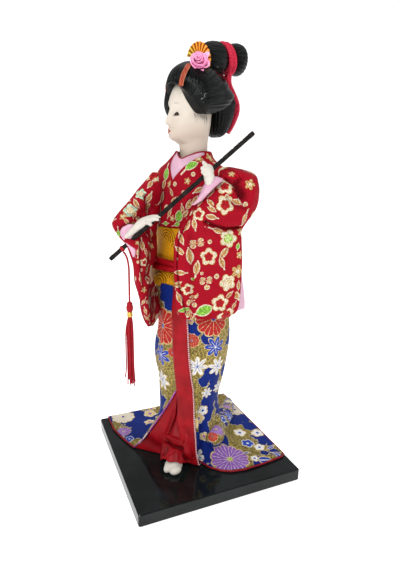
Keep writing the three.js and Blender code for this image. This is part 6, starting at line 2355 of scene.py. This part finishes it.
# %% [markdown]
# ## Floor and light
# A plain pale floor, a large soft light from the front left, a weaker one from the right and a bright
# surround, as for a picture of goods on white. Mirrored in gloss the surround is darker, so that lacquer
# and hair stay black between their highlights.

# %% Floor
bpy.ops.object.select_all(action="DESELECT")
bpy.ops.mesh.primitive_plane_add(size=6, location=(0, 0, -0.0005))
floor = bpy.context.object
floor.name = "floor"
floor_finish = Finish("pale floor", (0.9, 0.9, 0.9), 0.8, Emission_Strength=0.6)
floor_finish.shader.inputs["Emission Color"].default_value = (1, 1, 1, 1)
floor.data.materials.append(floor_finish.material)
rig.stage(floor)

print("floor, m:", floor.dimensions[:2])

# %% Surround
BRIGHT_BEHIND = (0.8 * sin(HEADING), 0.8 * cos(HEADING), 0.6)
DARKEST, BRIGHTEST, MIRRORED_LESS = 0.32, 1.2, 0.62
world = bpy.data.worlds.new("surround")
bpy.context.scene.world = world
world.use_nodes = True
sky = world.node_tree
where = sky.nodes.new("ShaderNodeTexCoord")
rays = sky.nodes.new("ShaderNodeLightPath")
behind = sky.nodes.new("ShaderNodeVectorMath")
behind.operation = "DOT_PRODUCT"
behind.inputs[1].default_value = BRIGHT_BEHIND
sky.links.new(where.outputs["Generated"], behind.inputs[0])
level = Wire(sky, behind.outputs["Value"]).over(-0.2, 0.9) * (BRIGHTEST - DARKEST) + DARKEST
mirrored = Wire(sky, rays.outputs["Is Glossy Ray"]) * -MIRRORED_LESS + 1.0
shown = (level * mirrored).most(Wire(sky, rays.outputs["Is Camera Ray"]))
sky.links.new(shown.source, sky.nodes["Background"].inputs[1])
sky.nodes["Background"].inputs[0].default_value = (1, 1, 1, 1)

print("nodes of the surround:", len(sky.nodes))

# %% Lamps
LAMPS = [
    ((-0.8, -0.7, 0.8), 6.6, 0.4), ((0.9, -0.5, 0.6), 1.3, 0.8), ((0.1, 0.1, 1.2), 2.0, 0.8),
    ((-0.3, -0.95, 0.95), 4.2, 0.07),
]
LIT_PLACE = Vector((0, 0, 0.14))
for at, watts, size in LAMPS:
    bpy.ops.object.light_add(type="AREA", location=at)
    lamp = bpy.context.object
    lamp.data.energy = watts
    lamp.data.size = size
    lamp.rotation_euler = (LIT_PLACE - Vector(at)).to_track_quat("-Z", "Y").to_euler()
bpy.context.scene.view_settings.view_transform = "Standard"
print("lamps:", len(LAMPS))

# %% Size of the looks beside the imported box
def listed(box):
    return [[round(float(v), 5) for v in corner] for corner in box]


looks_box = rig.bounds()
with open("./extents.json", "w") as file:
    json.dump({"packed": listed(packed_box), "looks": listed(looks_box)}, file)
print("packed", listed(packed_box), "looks", listed(looks_box))
